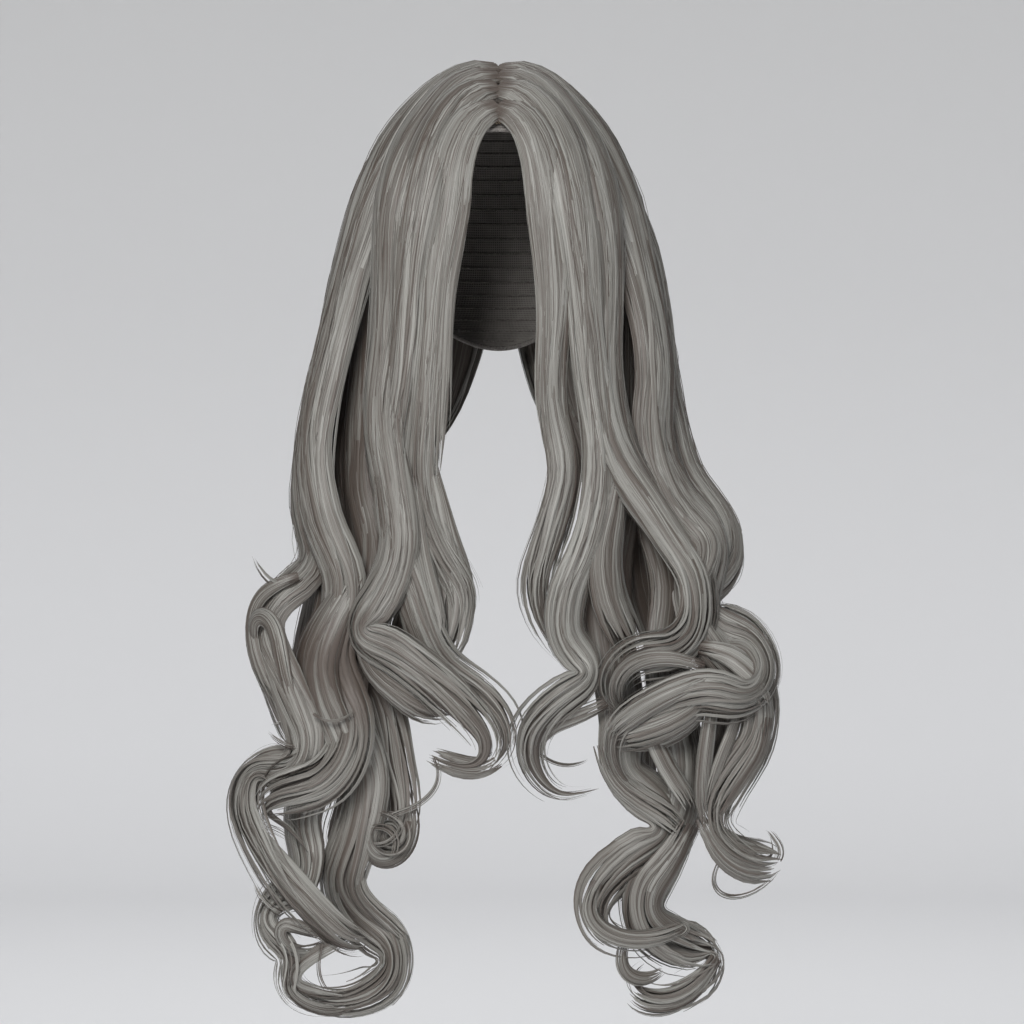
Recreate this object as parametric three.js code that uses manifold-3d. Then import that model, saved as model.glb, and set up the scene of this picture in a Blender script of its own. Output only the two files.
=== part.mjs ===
// Long wavy wig with a centre parting: a net cap, a parting strip, and hair in locks that are
// fused to the roots or the track they are sewn by. Millimetres, +Z up, the face opening to -Y.
// The origin is the crown, on the inside of the cap. Right and left are the wearer's.
import * as THREE from 'three';
import Module from 'manifold-3d';

const wasm = await Module();
wasm.setup();

// Head form that the cap is made to, an ellipsoid whose top is the origin
const headHalf = new THREE.Vector3(78, 98, 100);
const headMid = new THREE.Vector3(0, 0, -headHalf.z);

// Cap: a soft wall with its rim high over the forehead and low at the nape
const capWall = 2;
const rimFall = 98;
const rimTilt = 45;
const capTurns = 28;
const capSteps = 9;

// Parting strip along the middle of the cap
const partingWidth = 4;
const partingThick = 1.2;
const partingFront = -76;
const partingBack = 24;
const partingSteps = 10;

// Hair
const clearance = 0.3;
const headSteps = 4;
const ringsPerFold = 2;
const sectionSides = 6;
const rootThick = 0.5;
const easeFolds = 1.5;
const curtainSweep = 0.6;
const tipStart = 0.7;
const tipEase = 1.5;
const tightestBend = 0.75;
const bowRadius = 95;
const facingSide = 0.7;
const facingAxis = 10;
const trackWidth = 9;
const trackThick = 4;
const flattestTurn = 1e-6;

const hairFinish = { color: 0x7d7b76, roughness: 0.5 };
const netFinish = { color: 0x57534f, roughness: 0.9 };
const partingFinish = { color: 0xb3a593, roughness: 0.8 };

// Each lock has its root on the head (x, y), its width at the root, where it leaves the head, as
// it hangs and at the tip, its thickness, and a row (x, y, z) for each fold from the head down. A
// lock without a root branches off another.
const rightCurtain = [
  {
    root: [-3, -67],
    width: [16, 24, 22, 4],
    thick: 10,
    folds: [
      [-37, -97, -87],
      [-45, -98, -180],
      [-50, -98, -288],
      [-36, -104, -325],
      [-21, -108, -352],
      [-30, -104, -394],
    ],
  },
  {
    root: [-3, -53],
    width: [16, 30, 27, 5],
    thick: 13,
    folds: [
      [-53, -92, -82],
      [-62, -92, -180],
      [-72, -96, -283],
      [-58, -106, -345],
      [-39, -112, -394],
      [-13, -116, -413],
      [3, -114, -432],
      [6, -106, -452],
      [-8, -100, -468],
    ],
  },
  {
    root: [-3, -37],
    width: [18, 32, 31, 5],
    thick: 13,
    folds: [
      [-66, -82, -78],
      [-72, -84, -175],
      [-77, -92, -235],
      [-68, -100, -290],
      [-66, -104, -322],
      [-77, -110, -352],
      [-91, -114, -376],
      [-70, -124, -385],
      [-45, -126, -405],
      [-22, -126, -427],
      [-7, -118, -448],
      [-14, -108, -464],
      [-49, -104, -457],
    ],
  },
  {
    root: [-3, -19],
    width: [20, 34, 35, 5],
    thick: 14,
    folds: [
      [-80, -56, -72],
      [-105, -58, -160],
      [-123, -70, -245],
      [-120, -84, -295],
      [-103, -94, -345],
      [-112, -104, -392],
      [-97, -112, -440],
      [-112, -116, -471],
      [-143, -112, -481],
      [-156, -102, -494],
      [-141, -96, -503],
      [-124, -100, -524],
    ],
  },
  {
    root: [-3, 1],
    width: [20, 36, 34, 5],
    thick: 13,
    folds: [
      [-91, -22, -82],
      [-113, -26, -170],
      [-131, -48, -283],
      [-122, -72, -328],
      [-146, -84, -353],
      [-156, -94, -374],
      [-140, -106, -415],
      [-127, -104, -452],
      [-140, -94, -467],
      [-160, -90, -466],
      [-169, -96, -488],
      [-157, -106, -520],
      [-132, -112, -557],
      [-100, -108, -583],
      [-86, -102, -584],
    ],
  },
  {
    width: [12, 12, 20, 4],
    thick: 9,
    folds: [
      [-92, -110, -366],
      [-84, -116, -396],
      [-66, -118, -413],
      [-48, -116, -426],
      [-29, -110, -430],
    ],
  },
];

const leftCurtain = [
  {
    root: [3, -67],
    width: [16, 24, 22, 4],
    thick: 10,
    folds: [
      [37, -97, -87],
      [39, -98, -153],
      [35, -96, -220],
      [44, -98, -268],
      [36, -102, -305],
      [25, -106, -345],
      [32, -108, -375],
      [50, -104, -400],
    ],
  },
  {
    root: [3, -53],
    width: [16, 30, 27, 4],
    thick: 13,
    folds: [
      [52, -92, -82],
      [62, -92, -190],
      [69, -98, -267],
      [60, -104, -315],
      [46, -110, -350],
      [45, -116, -378],
      [62, -118, -402],
      [40, -120, -420],
      [23, -114, -440],
      [23, -106, -462],
      [40, -100, -483],
      [70, -98, -478],
    ],
  },
  {
    root: [3, -37],
    width: [18, 32, 31, 4],
    thick: 13,
    folds: [
      [65, -82, -80],
      [70, -84, -150],
      [70, -88, -205],
      [80, -94, -255],
      [108, -100, -300],
      [131, -104, -338],
      [130, -112, -375],
      [112, -120, -391],
      [92, -122, -392],
      [76, -114, -408],
      [83, -106, -424],
      [101, -108, -416],
    ],
  },
  {
    root: [3, -19],
    width: [20, 34, 35, 5],
    thick: 14,
    folds: [
      [78, -56, -72],
      [96, -58, -140],
      [106, -64, -200],
      [104, -76, -248],
      [120, -88, -287],
      [142, -90, -315],
      [133, -96, -362],
      [150, -104, -388],
      [172, -100, -412],
      [172, -94, -445],
      [150, -98, -480],
      [143, -102, -503],
      [160, -108, -520],
      [184, -104, -526],
      [180, -98, -508],
    ],
  },
  {
    root: [3, 1],
    width: [20, 36, 34, 5],
    thick: 13,
    folds: [
      [87, -22, -82],
      [103, -24, -125],
      [117, -36, -222],
      [129, -50, -268],
      [154, -64, -306],
      [152, -74, -332],
      [133, -84, -350],
      [140, -94, -366],
      [166, -98, -378],
      [176, -108, -402],
      [162, -116, -418],
      [135, -120, -412],
      [102, -122, -422],
      [77, -116, -442],
      [80, -108, -468],
      [104, -104, -488],
    ],
  },
  {
    width: [12, 12, 19, 5],
    thick: 9,
    folds: [
      [140, -117, -411],
      [126, -112, -434],
      [100, -110, -446],
      [80, -106, -447],
    ],
  },
];

const rightSide = [
  {
    root: [-71, -22],
    width: [20, 26, 36, 6],
    thick: 13,
    folds: [
      [-84, -34, -120],
      [-88, -50, -200],
      [-92, -64, -280],
      [-84, -80, -325],
      [-98, -88, -380],
      [-104, -94, -425],
      [-88, -98, -470],
      [-97, -98, -515],
      [-105, -92, -542],
      [-92, -90, -567],
      [-69, -94, -585],
      [-70, -100, -603],
      [-90, -104, -616],
      [-116, -102, -618],
      [-135, -97, -606],
      [-131, -92, -588],
    ],
  },
  {
    root: [-73, 0],
    width: [20, 26, 36, 6],
    thick: 13,
    folds: [
      [-90, -6, -125],
      [-100, -18, -200],
      [-108, -38, -268],
      [-98, -66, -335],
      [-102, -78, -380],
      [-80, -82, -425],
      [-72, -86, -465],
      [-67, -88, -497],
      [-78, -84, -522],
      [-94, -80, -530],
    ],
  },
  {
    root: [-71, 22],
    width: [20, 26, 34, 6],
    thick: 13,
    folds: [
      [-92, 18, -130],
      [-104, 6, -205],
      [-116, -14, -285],
      [-120, -48, -345],
      [-128, -66, -400],
      [-116, -76, -450],
      [-132, -80, -500],
      [-126, -86, -537],
      [-150, -92, -556],
      [-154, -100, -572],
      [-135, -107, -590],
      [-142, -105, -608],
      [-128, -100, -623],
      [-98, -98, -627],
    ],
  },
];

const leftSide = [
  {
    root: [71, -22],
    width: [20, 26, 36, 6],
    thick: 13,
    folds: [
      [82, -34, -120],
      [80, -52, -200],
      [82, -68, -280],
      [74, -84, -340],
      [78, -92, -395],
      [84, -96, -440],
      [82, -98, -466],
      [107, -98, -490],
      [112, -96, -508],
      [81, -96, -532],
      [64, -98, -553],
      [67, -102, -573],
      [95, -104, -582],
      [126, -98, -573],
    ],
  },
  {
    root: [73, 0],
    width: [20, 26, 36, 6],
    thick: 13,
    folds: [
      [88, -6, -125],
      [98, -20, -200],
      [100, -44, -280],
      [116, -66, -345],
      [112, -80, -400],
      [124, -86, -450],
      [124, -88, -495],
      [105, -88, -532],
      [94, -90, -560],
      [112, -94, -582],
      [146, -92, -590],
      [132, -98, -607],
      [105, -100, -617],
      [86, -96, -605],
      [100, -92, -594],
    ],
  },
  {
    root: [71, 22],
    width: [20, 26, 36, 6],
    thick: 13,
    folds: [
      [90, 18, -130],
      [102, 4, -205],
      [112, -18, -275],
      [124, -46, -325],
      [130, -68, -370],
      [150, -80, -405],
      [150, -82, -445],
      [136, -82, -482],
      [132, -80, -515],
    ],
  },
];

// Locks of the back, one row each: root (y), the middle of the head behind (x, y), the nape
// (x, y, z), where it comes over the shoulder (x, y, z), then the waves that hang in front:
// their place across, their depth, how far they swing, and the level of the tip.
const backRows = [
  {
    rootY: 20, head: [-96, 24], nape: [-96, 12, -225], over: [-91, -20, -298],
    hang: -100, depth: -44, swing: 7, tip: -530,
  },
  {
    rootY: 38, head: [-71, 76], nape: [-79, 58, -218], over: [-81, 6, -288],
    hang: -82, depth: -31, swing: -7, tip: -475,
  },
  {
    rootY: 57, head: [-26, 106], nape: [-40, 88, -208], over: [-68, 38, -274],
    hang: -64, depth: -43, swing: 6, tip: -420,
  },
  {
    rootY: 57, head: [27, 106], nape: [41, 88, -209], over: [69, 38, -275],
    hang: 64, depth: -44, swing: -6, tip: -430,
  },
  {
    rootY: 39, head: [71, 76], nape: [79, 58, -219], over: [82, 6, -289],
    hang: 83, depth: -31, swing: 7, tip: -485,
  },
  {
    rootY: 20, head: [94, 24], nape: [96, 12, -226], over: [92, -20, -299],
    hang: 102, depth: -45, swing: -7, tip: -540,
  },
];
const backRootSide = 3;
const backMiddle = -92;
const backWaveStart = -345;
const backWaveStep = 58;
const backSpread = 3;
const backWidth = [22, 58, 27, 5];
const backThick = 12;

// Builds a closed solid from points and triangles
function solidFrom(points, faces) {
  const vertProperties = new Float32Array(points.flatMap((point) => point.toArray()));
  const triVerts = new Uint32Array(faces.flat());
  return new wasm.Manifold(new wasm.Mesh({ numProp: 3, vertProperties, triVerts }));
}

function joined(solids) {
  return solids.reduce((sum, solid) => sum.add(solid));
}

// The place in a direction at a height over the head form
function offHead(direction, height) {
  return headHalf.clone().addScalar(height).multiply(direction).add(headMid);
}

// The direction on the head form of a point, with a length over 1 outside it
function headDirection(point) {
  return point.clone().sub(headMid).divide(headHalf);
}

// The direction of a root, given as a place seen from above
function rootDirection([x, y]) {
  const side = x / headHalf.x;
  const depth = y / headHalf.y;
  return new THREE.Vector3(side, depth, Math.sqrt(1 - side * side - depth * depth));
}

// Arc from the root to where the hair leaves the head. It sets off sideways by the lock's sweep,
// and lifts off on the way.
function overHead(from, to, lift, sweep) {
  const start = 1 + lift / headHalf.x;
  const end = to.length();
  const target = to.clone().normalize();
  const half = from.angleTo(target) / 2;
  const sideways = new THREE.Vector3(Math.sign(from.x), 0, 0);
  sideways.addScaledVector(from, -sideways.dot(from)).normalize();
  const swept = from.clone().multiplyScalar(Math.cos(half)).addScaledVector(sideways, Math.sin(half));
  const middle = from.clone().add(target).normalize().lerp(swept, sweep);
  return Array.from({ length: headSteps }, (_, step) => {
    const share = step / headSteps;
    const direction = from.clone().lerp(middle, share).lerp(middle.clone().lerp(target, share), share);
    const factor = start + (end - start) * share;
    return direction.normalize().multiplyScalar(factor).multiply(headHalf).add(headMid);
  });
}

// Which way the flat side of a lock faces: up off the head, and round the wearer below it
function outward(point) {
  const rise = Math.max(0, point.z - headMid.z);
  return new THREE.Vector3(point.x * facingSide, point.y - facingAxis, rise).normalize();
}

function lockCurve(lock) {
  const points = lock.folds.map(([x, y, z]) => new THREE.Vector3(x, y, z));
  if (lock.root) {
    const lift = capWall + clearance + (lock.thick * rootThick) / 2;
    const target = headDirection(points[0]);
    points.unshift(...overHead(rootDirection(lock.root), target, lift, lock.sweep ?? 0));
  }
  return new THREE.CatmullRomCurve3(points, false, 'centripetal');
}

// How far along each section of a lock lies, counted in curve spans: one for each step over the
// head and several for each fold
function lockStations(lock, spans) {
  const onTop = lock.root ? headSteps : 0;
  const stations = Array.from({ length: onTop }, (_, step) => step);
  for (let station = onTop; station <= spans; station += 1 / ringsPerFold) {
    stations.push(station);
  }
  return { stations, onTop };
}

// Width and thickness: growing over the head, then the hanging width, then narrowing to the tip
function lockSize(lock, station, onTop, spans) {
  const [root, head, hanging, tip] = lock.width;
  if (station <= onTop && onTop > 0) {
    const share = Math.sqrt(station / onTop);
    const width = root + (head - root) * share;
    return { width, thick: lock.thick * (rootThick + (1 - rootThick) * share) };
  }
  const eased = Math.min(1, (station - onTop) / easeFolds);
  const narrowing = Math.max(0, (station - onTop) / (spans - onTop) - tipStart) / (1 - tipStart);
  const width = head + (hanging - head) * eased;
  const left = 1 - narrowing ** tipEase * (1 - tip / width);
  return { width: width * left, thick: lock.thick * Math.sqrt(left) };
}

// Flat six-sided sections along a lock, bowed round the head and narrower where it bends hard
function lockRings(lock, grow) {
  const curve = lockCurve(lock);
  const spans = curve.points.length - 1;
  const { stations, onTop } = lockStations(lock, spans);
  const centres = stations.map((station) => curve.getPoint(station / spans));
  return centres.map((centre, ring) => {
    const along = curve.getTangent(stations[ring] / spans);
    const across = new THREE.Vector3().crossVectors(outward(centre), along).normalize();
    const up = new THREE.Vector3().crossVectors(along, across);
    const { width, thick } = lockSize(lock, stations[ring], onTop, spans);
    const halfWidth = Math.min(width / 2, tightestBend * bendRadius(centres, ring)) + grow;
    const halfThick = thick / 2 + grow;
    return Array.from({ length: sectionSides }, (_, corner) => {
      const angle = (corner / sectionSides) * Math.PI * 2;
      const side = halfWidth * Math.cos(angle);
      const rise = halfThick * Math.sin(angle) - (side * side) / (2 * bowRadius);
      return centre.clone().addScaledVector(across, side).addScaledVector(up, rise);
    });
  });
}

function bendRadius(centres, ring) {
  if (ring === 0 || ring === centres.length - 1) {
    return Infinity;
  }
  const before = centres[ring].clone().sub(centres[ring - 1]);
  const after = centres[ring + 1].clone().sub(centres[ring]);
  return Math.min(before.length(), after.length()) / Math.max(before.angleTo(after), flattestTurn);
}

// The solid between two neighbouring sections
function stretch(first, second) {
  const sides = first.length;
  const faces = [];
  for (let corner = 0; corner < sides; corner += 1) {
    const next = (corner + 1) % sides;
    faces.push([corner, next, sides + next], [corner, sides + next, sides + corner]);
  }
  for (let corner = 1; corner < sides - 1; corner += 1) {
    faces.push([0, corner + 1, corner], [sides, sides + corner, sides + corner + 1]);
  }
  return solidFrom([...first, ...second], faces);
}

function lofted(rings) {
  return joined(rings.slice(1).map((ring, index) => stretch(rings[index], ring)));
}

// Track that the side locks are sewn to, a band round the side of the cap
function trackFor(locks) {
  const first = rootDirection(locks[0].root);
  const last = rootDirection(locks[locks.length - 1].root);
  const lift = capWall + clearance + trackThick / 2;
  const folds = Array.from({ length: headSteps + 1 }, (_, step) => {
    const direction = first.clone().lerp(last, step / headSteps).normalize();
    return offHead(direction, lift).toArray();
  });
  return { width: [trackWidth, trackWidth, trackWidth, trackWidth], thick: trackThick, folds };
}

// A back lock over the head, round the nape, over the shoulder and down in waves
function backLock(row) {
  const side = Math.sign(row.hang);
  const folds = [[...row.head, backMiddle], row.nape, row.over];
  let place = row.hang;
  let swing = row.swing;
  for (let z = backWaveStart; z > row.tip; z -= backWaveStep) {
    folds.push([place + swing, row.depth, z]);
    place += backSpread * side;
    swing = -swing;
  }
  folds.push([place, row.depth, row.tip]);
  return { root: [backRootSide * side, row.rootY], width: backWidth, thick: backThick, folds };
}

// A place on the cap: turn is the angle from the front, fall the share of the way to the rim
function capPoint(turn, fall, wall) {
  const rim = THREE.MathUtils.degToRad(rimFall - rimTilt * Math.cos(turn));
  const spread = Math.sin(rim * fall);
  const drop = Math.cos(rim * fall);
  return offHead(new THREE.Vector3(spread * Math.sin(turn), -spread * Math.cos(turn), drop), wall);
}

// Points of a dome, crown first, then one row of places for each step down
function domePoints(wall, steps) {
  const points = [capPoint(0, 0, wall)];
  for (let step = 1; step <= steps; step += 1) {
    for (let place = 0; place < capTurns; place += 1) {
      points.push(capPoint((place / capTurns) * Math.PI * 2, step / capSteps, wall));
    }
  }
  return points;
}

function domeFaces(steps) {
  const faces = [];
  for (let place = 0; place < capTurns; place += 1) {
    const next = (place + 1) % capTurns;
    faces.push([0, 1 + place, 1 + next]);
    for (let step = 1; step < steps; step += 1) {
      const upper = 1 + (step - 1) * capTurns;
      const lower = upper + capTurns;
      faces.push([upper + place, lower + place, lower + next]);
      faces.push([upper + place, lower + next, upper + next]);
    }
  }
  return faces;
}

// The cap: an outer and an inner dome, joined along the rim
function capSolid() {
  const outer = domePoints(capWall, capSteps);
  const inner = domePoints(0, capSteps);
  const shift = outer.length;
  const faces = domeFaces(capSteps);
  faces.push(...domeFaces(capSteps).map(([a, b, c]) => [shift + a, shift + c, shift + b]));
  const rim = 1 + (capSteps - 1) * capTurns;
  for (let place = 0; place < capTurns; place += 1) {
    const next = (place + 1) % capTurns;
    faces.push([rim + place, shift + rim + place, shift + rim + next]);
    faces.push([rim + place, shift + rim + next, rim + next]);
  }
  return solidFrom([...outer, ...inner], faces);
}

// What the hair keeps clear of: the cap and the head inside it, closed a step below the rim
function headSolid() {
  const points = domePoints(capWall + clearance, capSteps + 1);
  const faces = domeFaces(capSteps + 1);
  const rim = 1 + capSteps * capTurns;
  const middle = points.length;
  for (let place = 0; place < capTurns; place += 1) {
    faces.push([middle, rim + ((place + 1) % capTurns), rim + place]);
  }
  return solidFrom([...points, headMid.clone()], faces);
}

// The parting strip: flat sections along the middle of the cap
function partingSolid(grow) {
  const half = partingWidth / 2 + grow;
  const under = capWall + clearance - grow;
  const over = capWall + clearance + partingThick + grow;
  const rings = Array.from({ length: partingSteps + 1 }, (_, step) => {
    const y = partingFront + ((partingBack - partingFront) * step) / partingSteps;
    const direction = rootDirection([0, y]);
    const corners = [[-half, under], [-half, over], [half, over], [half, under]];
    return corners.map(([x, height]) => offHead(direction, height).setX(x));
  });
  return lofted(rings);
}

function hairSolid(locks, grow) {
  return joined(locks.map((lock) => lofted(lockRings(lock, grow))));
}

// Cuts a solid clear of its neighbours and keeps its main body
function cleared(solid, neighbours) {
  const rest = neighbours.reduce((left, neighbour) => left.subtract(neighbour), solid);
  return rest.decompose().reduce((main, body) => (body.volume() > main.volume() ? body : main));
}

function meshOf(name, solid, finish) {
  const { vertProperties, triVerts } = solid.getMesh();
  const geometry = new THREE.BufferGeometry();
  geometry.setAttribute('position', new THREE.BufferAttribute(vertProperties, 3));
  geometry.setIndex(new THREE.BufferAttribute(triVerts, 1));
  geometry.computeVertexNormals();
  const material = new THREE.MeshStandardMaterial({ ...finish, metalness: 0 });
  const mesh = new THREE.Mesh(geometry, material);
  mesh.name = name;
  return mesh;
}

const head = headSolid();
const partingRoom = partingSolid(clearance);
const hairSets = {
  right_curtain: rightCurtain.map((lock) => ({ ...lock, sweep: curtainSweep })),
  left_curtain: leftCurtain.map((lock) => ({ ...lock, sweep: curtainSweep })),
  right_side_weft: [...rightSide, trackFor(rightSide)],
  left_side_weft: [...leftSide, trackFor(leftSide)],
  back_hair: backRows.map(backLock),
};

const wig = new THREE.Group();
wig.add(meshOf('cap', capSolid(), netFinish));
wig.add(meshOf('parting', partingSolid(0), partingFinish));
const placed = [head, partingRoom];
for (const [name, locks] of Object.entries(hairSets)) {
  wig.add(meshOf(name, cleared(hairSolid(locks, 0), placed), hairFinish));
  placed.push(hairSolid(locks, clearance));
}
export default wig;
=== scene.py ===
import math

import bpy
import numpy as np
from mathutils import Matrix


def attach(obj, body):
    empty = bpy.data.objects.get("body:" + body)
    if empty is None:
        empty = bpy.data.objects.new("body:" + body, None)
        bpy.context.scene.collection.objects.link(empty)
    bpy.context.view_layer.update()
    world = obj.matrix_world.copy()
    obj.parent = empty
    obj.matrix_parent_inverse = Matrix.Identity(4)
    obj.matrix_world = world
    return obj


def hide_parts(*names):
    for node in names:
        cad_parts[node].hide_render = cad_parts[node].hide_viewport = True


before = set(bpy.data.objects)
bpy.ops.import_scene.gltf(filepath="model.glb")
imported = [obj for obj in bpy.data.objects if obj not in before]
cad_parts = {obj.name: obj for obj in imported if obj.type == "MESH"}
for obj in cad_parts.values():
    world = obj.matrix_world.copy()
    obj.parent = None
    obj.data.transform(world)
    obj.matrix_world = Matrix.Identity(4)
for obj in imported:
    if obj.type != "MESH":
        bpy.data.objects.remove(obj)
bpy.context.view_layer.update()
scene = bpy.context.scene
mm = 0.001
print("frame loaded:", ", ".join(sorted(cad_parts)))

headForm = {"half": np.array((78.0, 98.0, 100.0)), "steps": 4,
            "capWall": 2, "gap": 0.3, "rimFall": 98, "rimTilt": 45}

lockForm = {
    "rootThick": 0.5,        # share of the thickness at the root
    "easeFolds": 1.5,        # folds until the hanging width
    "tipStart": 0.7,
    "tipEase": 1.5,
    "bowRadius": 95,
    "facingSide": 0.7,
    "facingAxis": 10,
    "trackWidth": 9,
    "trackThick": 4,
    "partingThick": 8.5,
}

guideForm = {
    "spanSteps": 24,
    "finest": 2.0,           # mm between the points that curvature is read from
    "turn": 0.14,            # most that the hair turns in one step
    "closest": 2.6,
    "widest": 12.0,
    "smoothing": {"path": 10, "bend": 3, "width": 8, "across": 5, "lean": 10},  # points each way
    "leastBend": 1e-5,
    "tightestBend": 0.62,    # half width, as a share of the bend's radius
    "slack": 1.25,           # how far the smoothed width may pass that
    "lean": 0.45,            # how far a lock leans where it swings to the side
    "leanBend": 45.0,        # mm, bend radius with the full lean
}

rootForm = {
    "settle": 14.0,          # mm over which the hair rises from its root
    "rise": 0.7,             # share of the thickness at the very root
    "side": 0.7,             # mm from the middle of the parting
    "spread": 0.45,          # extra width over the cap, so that the locks run into each other
    "spreadEnd": 240.0,
    "lift": 4.0,             # mm that the hair stands up at the parting
    "liftEnd": 60.0,
    "press": 5.0,            # mm that it lies closer between there and the first fold
    "pressEnd": 150.0,
    "thin": 0.35,            # share of the thickness that goes there
}


def unit(vectors):
    return vectors / np.linalg.norm(vectors, axis=-1, keepdims=True)


def byColumn(change, values):
    if values.ndim == 1:
        return change(values)
    return np.stack([change(column) for column in values.T], axis=1)


def smoothed(values, part):
    reach = guideForm["smoothing"][part]
    window = np.hanning(2 * reach + 3)[1:-1]
    window /= window.sum()
    return byColumn(lambda column: np.convolve(np.pad(column, reach, mode="edge"), window,
                                               mode="valid"), values)


def eased(share):
    share = np.clip(share, 0, 1)
    return share * share * (3 - 2 * share)


def headMiddle():
    return np.array((0, 0, -headForm["half"][2]))


def rootDirection(x, y):
    side, depth = x / headForm["half"][0], y / headForm["half"][1]
    return np.array((side, depth, math.sqrt(1 - side * side - depth * depth)))


# from the root to where the hair leaves the cap, setting off sideways and lifting on the way
def overHead(start, target, lift, sweep):
    first = 1 + lift / headForm["half"][0]
    last = np.linalg.norm(target)
    aim = target / last
    half = math.acos(np.clip(np.dot(start, aim), -1, 1)) / 2
    sideways = np.array((math.copysign(1, start[0]), 0, 0))
    sideways = unit(sideways - start * np.dot(sideways, start))
    swept = start * math.cos(half) + sideways * math.sin(half)
    middle = unit(start + aim) * (1 - sweep) + swept * sweep
    points = []
    for step in range(headForm["steps"]):
        share = step / headForm["steps"]
        direction = (start * (1 - share) ** 2 + middle * 2 * share * (1 - share)
                     + aim * share ** 2)
        factor = first + (last - first) * share
        points.append(unit(direction) * factor * headForm["half"] + headMiddle())
    return points


# centripetal Catmull-Rom, counted in spans
def splineAt(points, station):
    span = min(int(station), len(points) - 2)
    t = station - span
    b, c = points[span], points[span + 1]
    a = points[span - 1] if span > 0 else 2 * b - c
    d = points[span + 2] if span + 2 < len(points) else 2 * c - b
    gaps = [math.sqrt(np.linalg.norm(q - p)) for p, q in ((a, b), (b, c), (c, d))]
    leave = (b - a) / gaps[0] - (c - a) / (gaps[0] + gaps[1]) + (c - b) / gaps[1]
    arrive = (c - b) / gaps[1] - (d - b) / (gaps[1] + gaps[2]) + (d - c) / gaps[2]
    leave, arrive = leave * gaps[1], arrive * gaps[1]
    square = -3 * b + 3 * c - 2 * leave - arrive
    cube = 2 * b - 2 * c + leave + arrive
    return b + t * (leave + t * (square + t * cube))


def lockSize(lock, station, onTop, spans):
    root, head, hanging, tip = lock["width"]
    if onTop and station <= onTop:
        share = math.sqrt(station / onTop)
        thin = lockForm["rootThick"] + (1 - lockForm["rootThick"]) * share
        return root + (head - root) * share, lock["thick"] * thin
    leaving = min(1, (station - onTop) / lockForm["easeFolds"])
    narrowing = (station - onTop) / (spans - onTop) - lockForm["tipStart"]
    narrowing = max(0, narrowing) / (1 - lockForm["tipStart"])
    width = head + (hanging - head) * leaving
    left = 1 - narrowing ** lockForm["tipEase"] * (1 - tip / width)
    return width * left, lock["thick"] * math.sqrt(left)


# points, directions and sizes along one lock, close together only where it curls
def lockGuide(lock, sweep=0.0):
    folds = [np.array(fold, float) for fold in lock["folds"]]
    onTop = 0
    if lock["root"]:
        lift = headForm["capWall"] + headForm["gap"] + lock["thick"] * lockForm["rootThick"] / 2
        target = (folds[0] - headMiddle()) / headForm["half"]
        folds = overHead(rootDirection(*lock["root"]), target, lift, sweep) + folds
        onTop = headForm["steps"]
    spans = len(folds) - 1
    stations = np.linspace(0, spans, spans * guideForm["spanSteps"] + 1)
    path = np.array([splineAt(folds, station) for station in stations])
    sizes = np.array([lockSize(lock, station, onTop, spans) for station in stations]) / 2
    run = np.concatenate([[0], np.cumsum(np.linalg.norm(np.diff(path, axis=0), axis=1))])
    even = np.linspace(0, run[-1], int(run[-1] / guideForm["finest"]) + 1)
    path = smoothed(byColumn(lambda column: np.interp(even, run, column), path), "path")
    halfWidth, halfThick = (np.interp(even, run, column) for column in sizes.T)
    along = unit(np.gradient(path, axis=0))
    curl = np.gradient(along, even, axis=0)
    bend = smoothed(np.linalg.norm(curl, axis=1), "bend")
    bend = np.maximum(bend, guideForm["leastBend"])
    widest = guideForm["tightestBend"] / bend
    halfWidth = np.minimum(smoothed(np.minimum(halfWidth, widest), "width"),
                           guideForm["slack"] * widest)
    facing = np.stack([path[:, 0] * lockForm["facingSide"], path[:, 1] - lockForm["facingAxis"],
                       np.maximum(0, path[:, 2] + headForm["half"][2])], axis=1)
    across = unit(np.cross(unit(facing), along))
    for index in range(1, len(across)):
        if np.dot(across[index], across[index - 1]) < 0:
            across[index:] *= -1
    across = smoothed(across, "across")
    across = unit(across - along * np.sum(across * along, axis=1, keepdims=True))
    swing = np.clip(np.sum(curl * across, axis=1) * guideForm["leanBend"], -1, 1)
    lean = smoothed(swing, "lean") * guideForm["lean"]
    if lock["root"]:
        lean = lean * eased((even - rootForm["liftEnd"]) / rootForm["pressEnd"])
        risen = eased(even / rootForm["settle"])
        low = (1 - risen) * (1 - rootForm["rise"]) * halfThick
        spread = rootForm["spread"] * (1 - eased(even / rootForm["spreadEnd"]))
        halfWidth = halfWidth * (1 + spread)
        raised = -low
        if abs(lock["root"][0]) < lockForm["trackWidth"]:
            path[:, 0] *= rootForm["side"] / abs(lock["root"][0]) * (1 - risen) + risen
            pressed = np.sin(np.clip(even / rootForm["pressEnd"], 0, 1) * math.pi) ** 2
            raised = (raised + rootForm["lift"] * (1 - eased(even / rootForm["liftEnd"]))
                      - rootForm["press"] * pressed)
            halfThick = halfThick * (1 - rootForm["thin"] * pressed)
        path = path + np.cross(along, across) * raised[:, None]
        halfThick = halfThick - low
    spacing = np.clip(guideForm["turn"] / bend, guideForm["closest"], guideForm["widest"])
    count = np.concatenate([[0], np.cumsum(np.diff(even) / spacing[1:])])
    keep = np.interp(np.linspace(0, count[-1], int(math.ceil(count[-1])) + 1), count, even)

    def kept(values):
        return byColumn(lambda column: np.interp(keep, even, column), values)

    return {"point": kept(path) * mm, "across": unit(kept(across)),
            "outward": unit(kept(np.cross(along, across))), "halfWidth": kept(halfWidth) * mm,
            "halfThick": kept(halfThick) * mm, "lean": kept(lean), "run": keep * mm,
            "along": keep / even[-1]}


def lockFrom(root, width, thick, folds):
    return {"root": root, "width": width, "thick": thick, "folds": folds}


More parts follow.
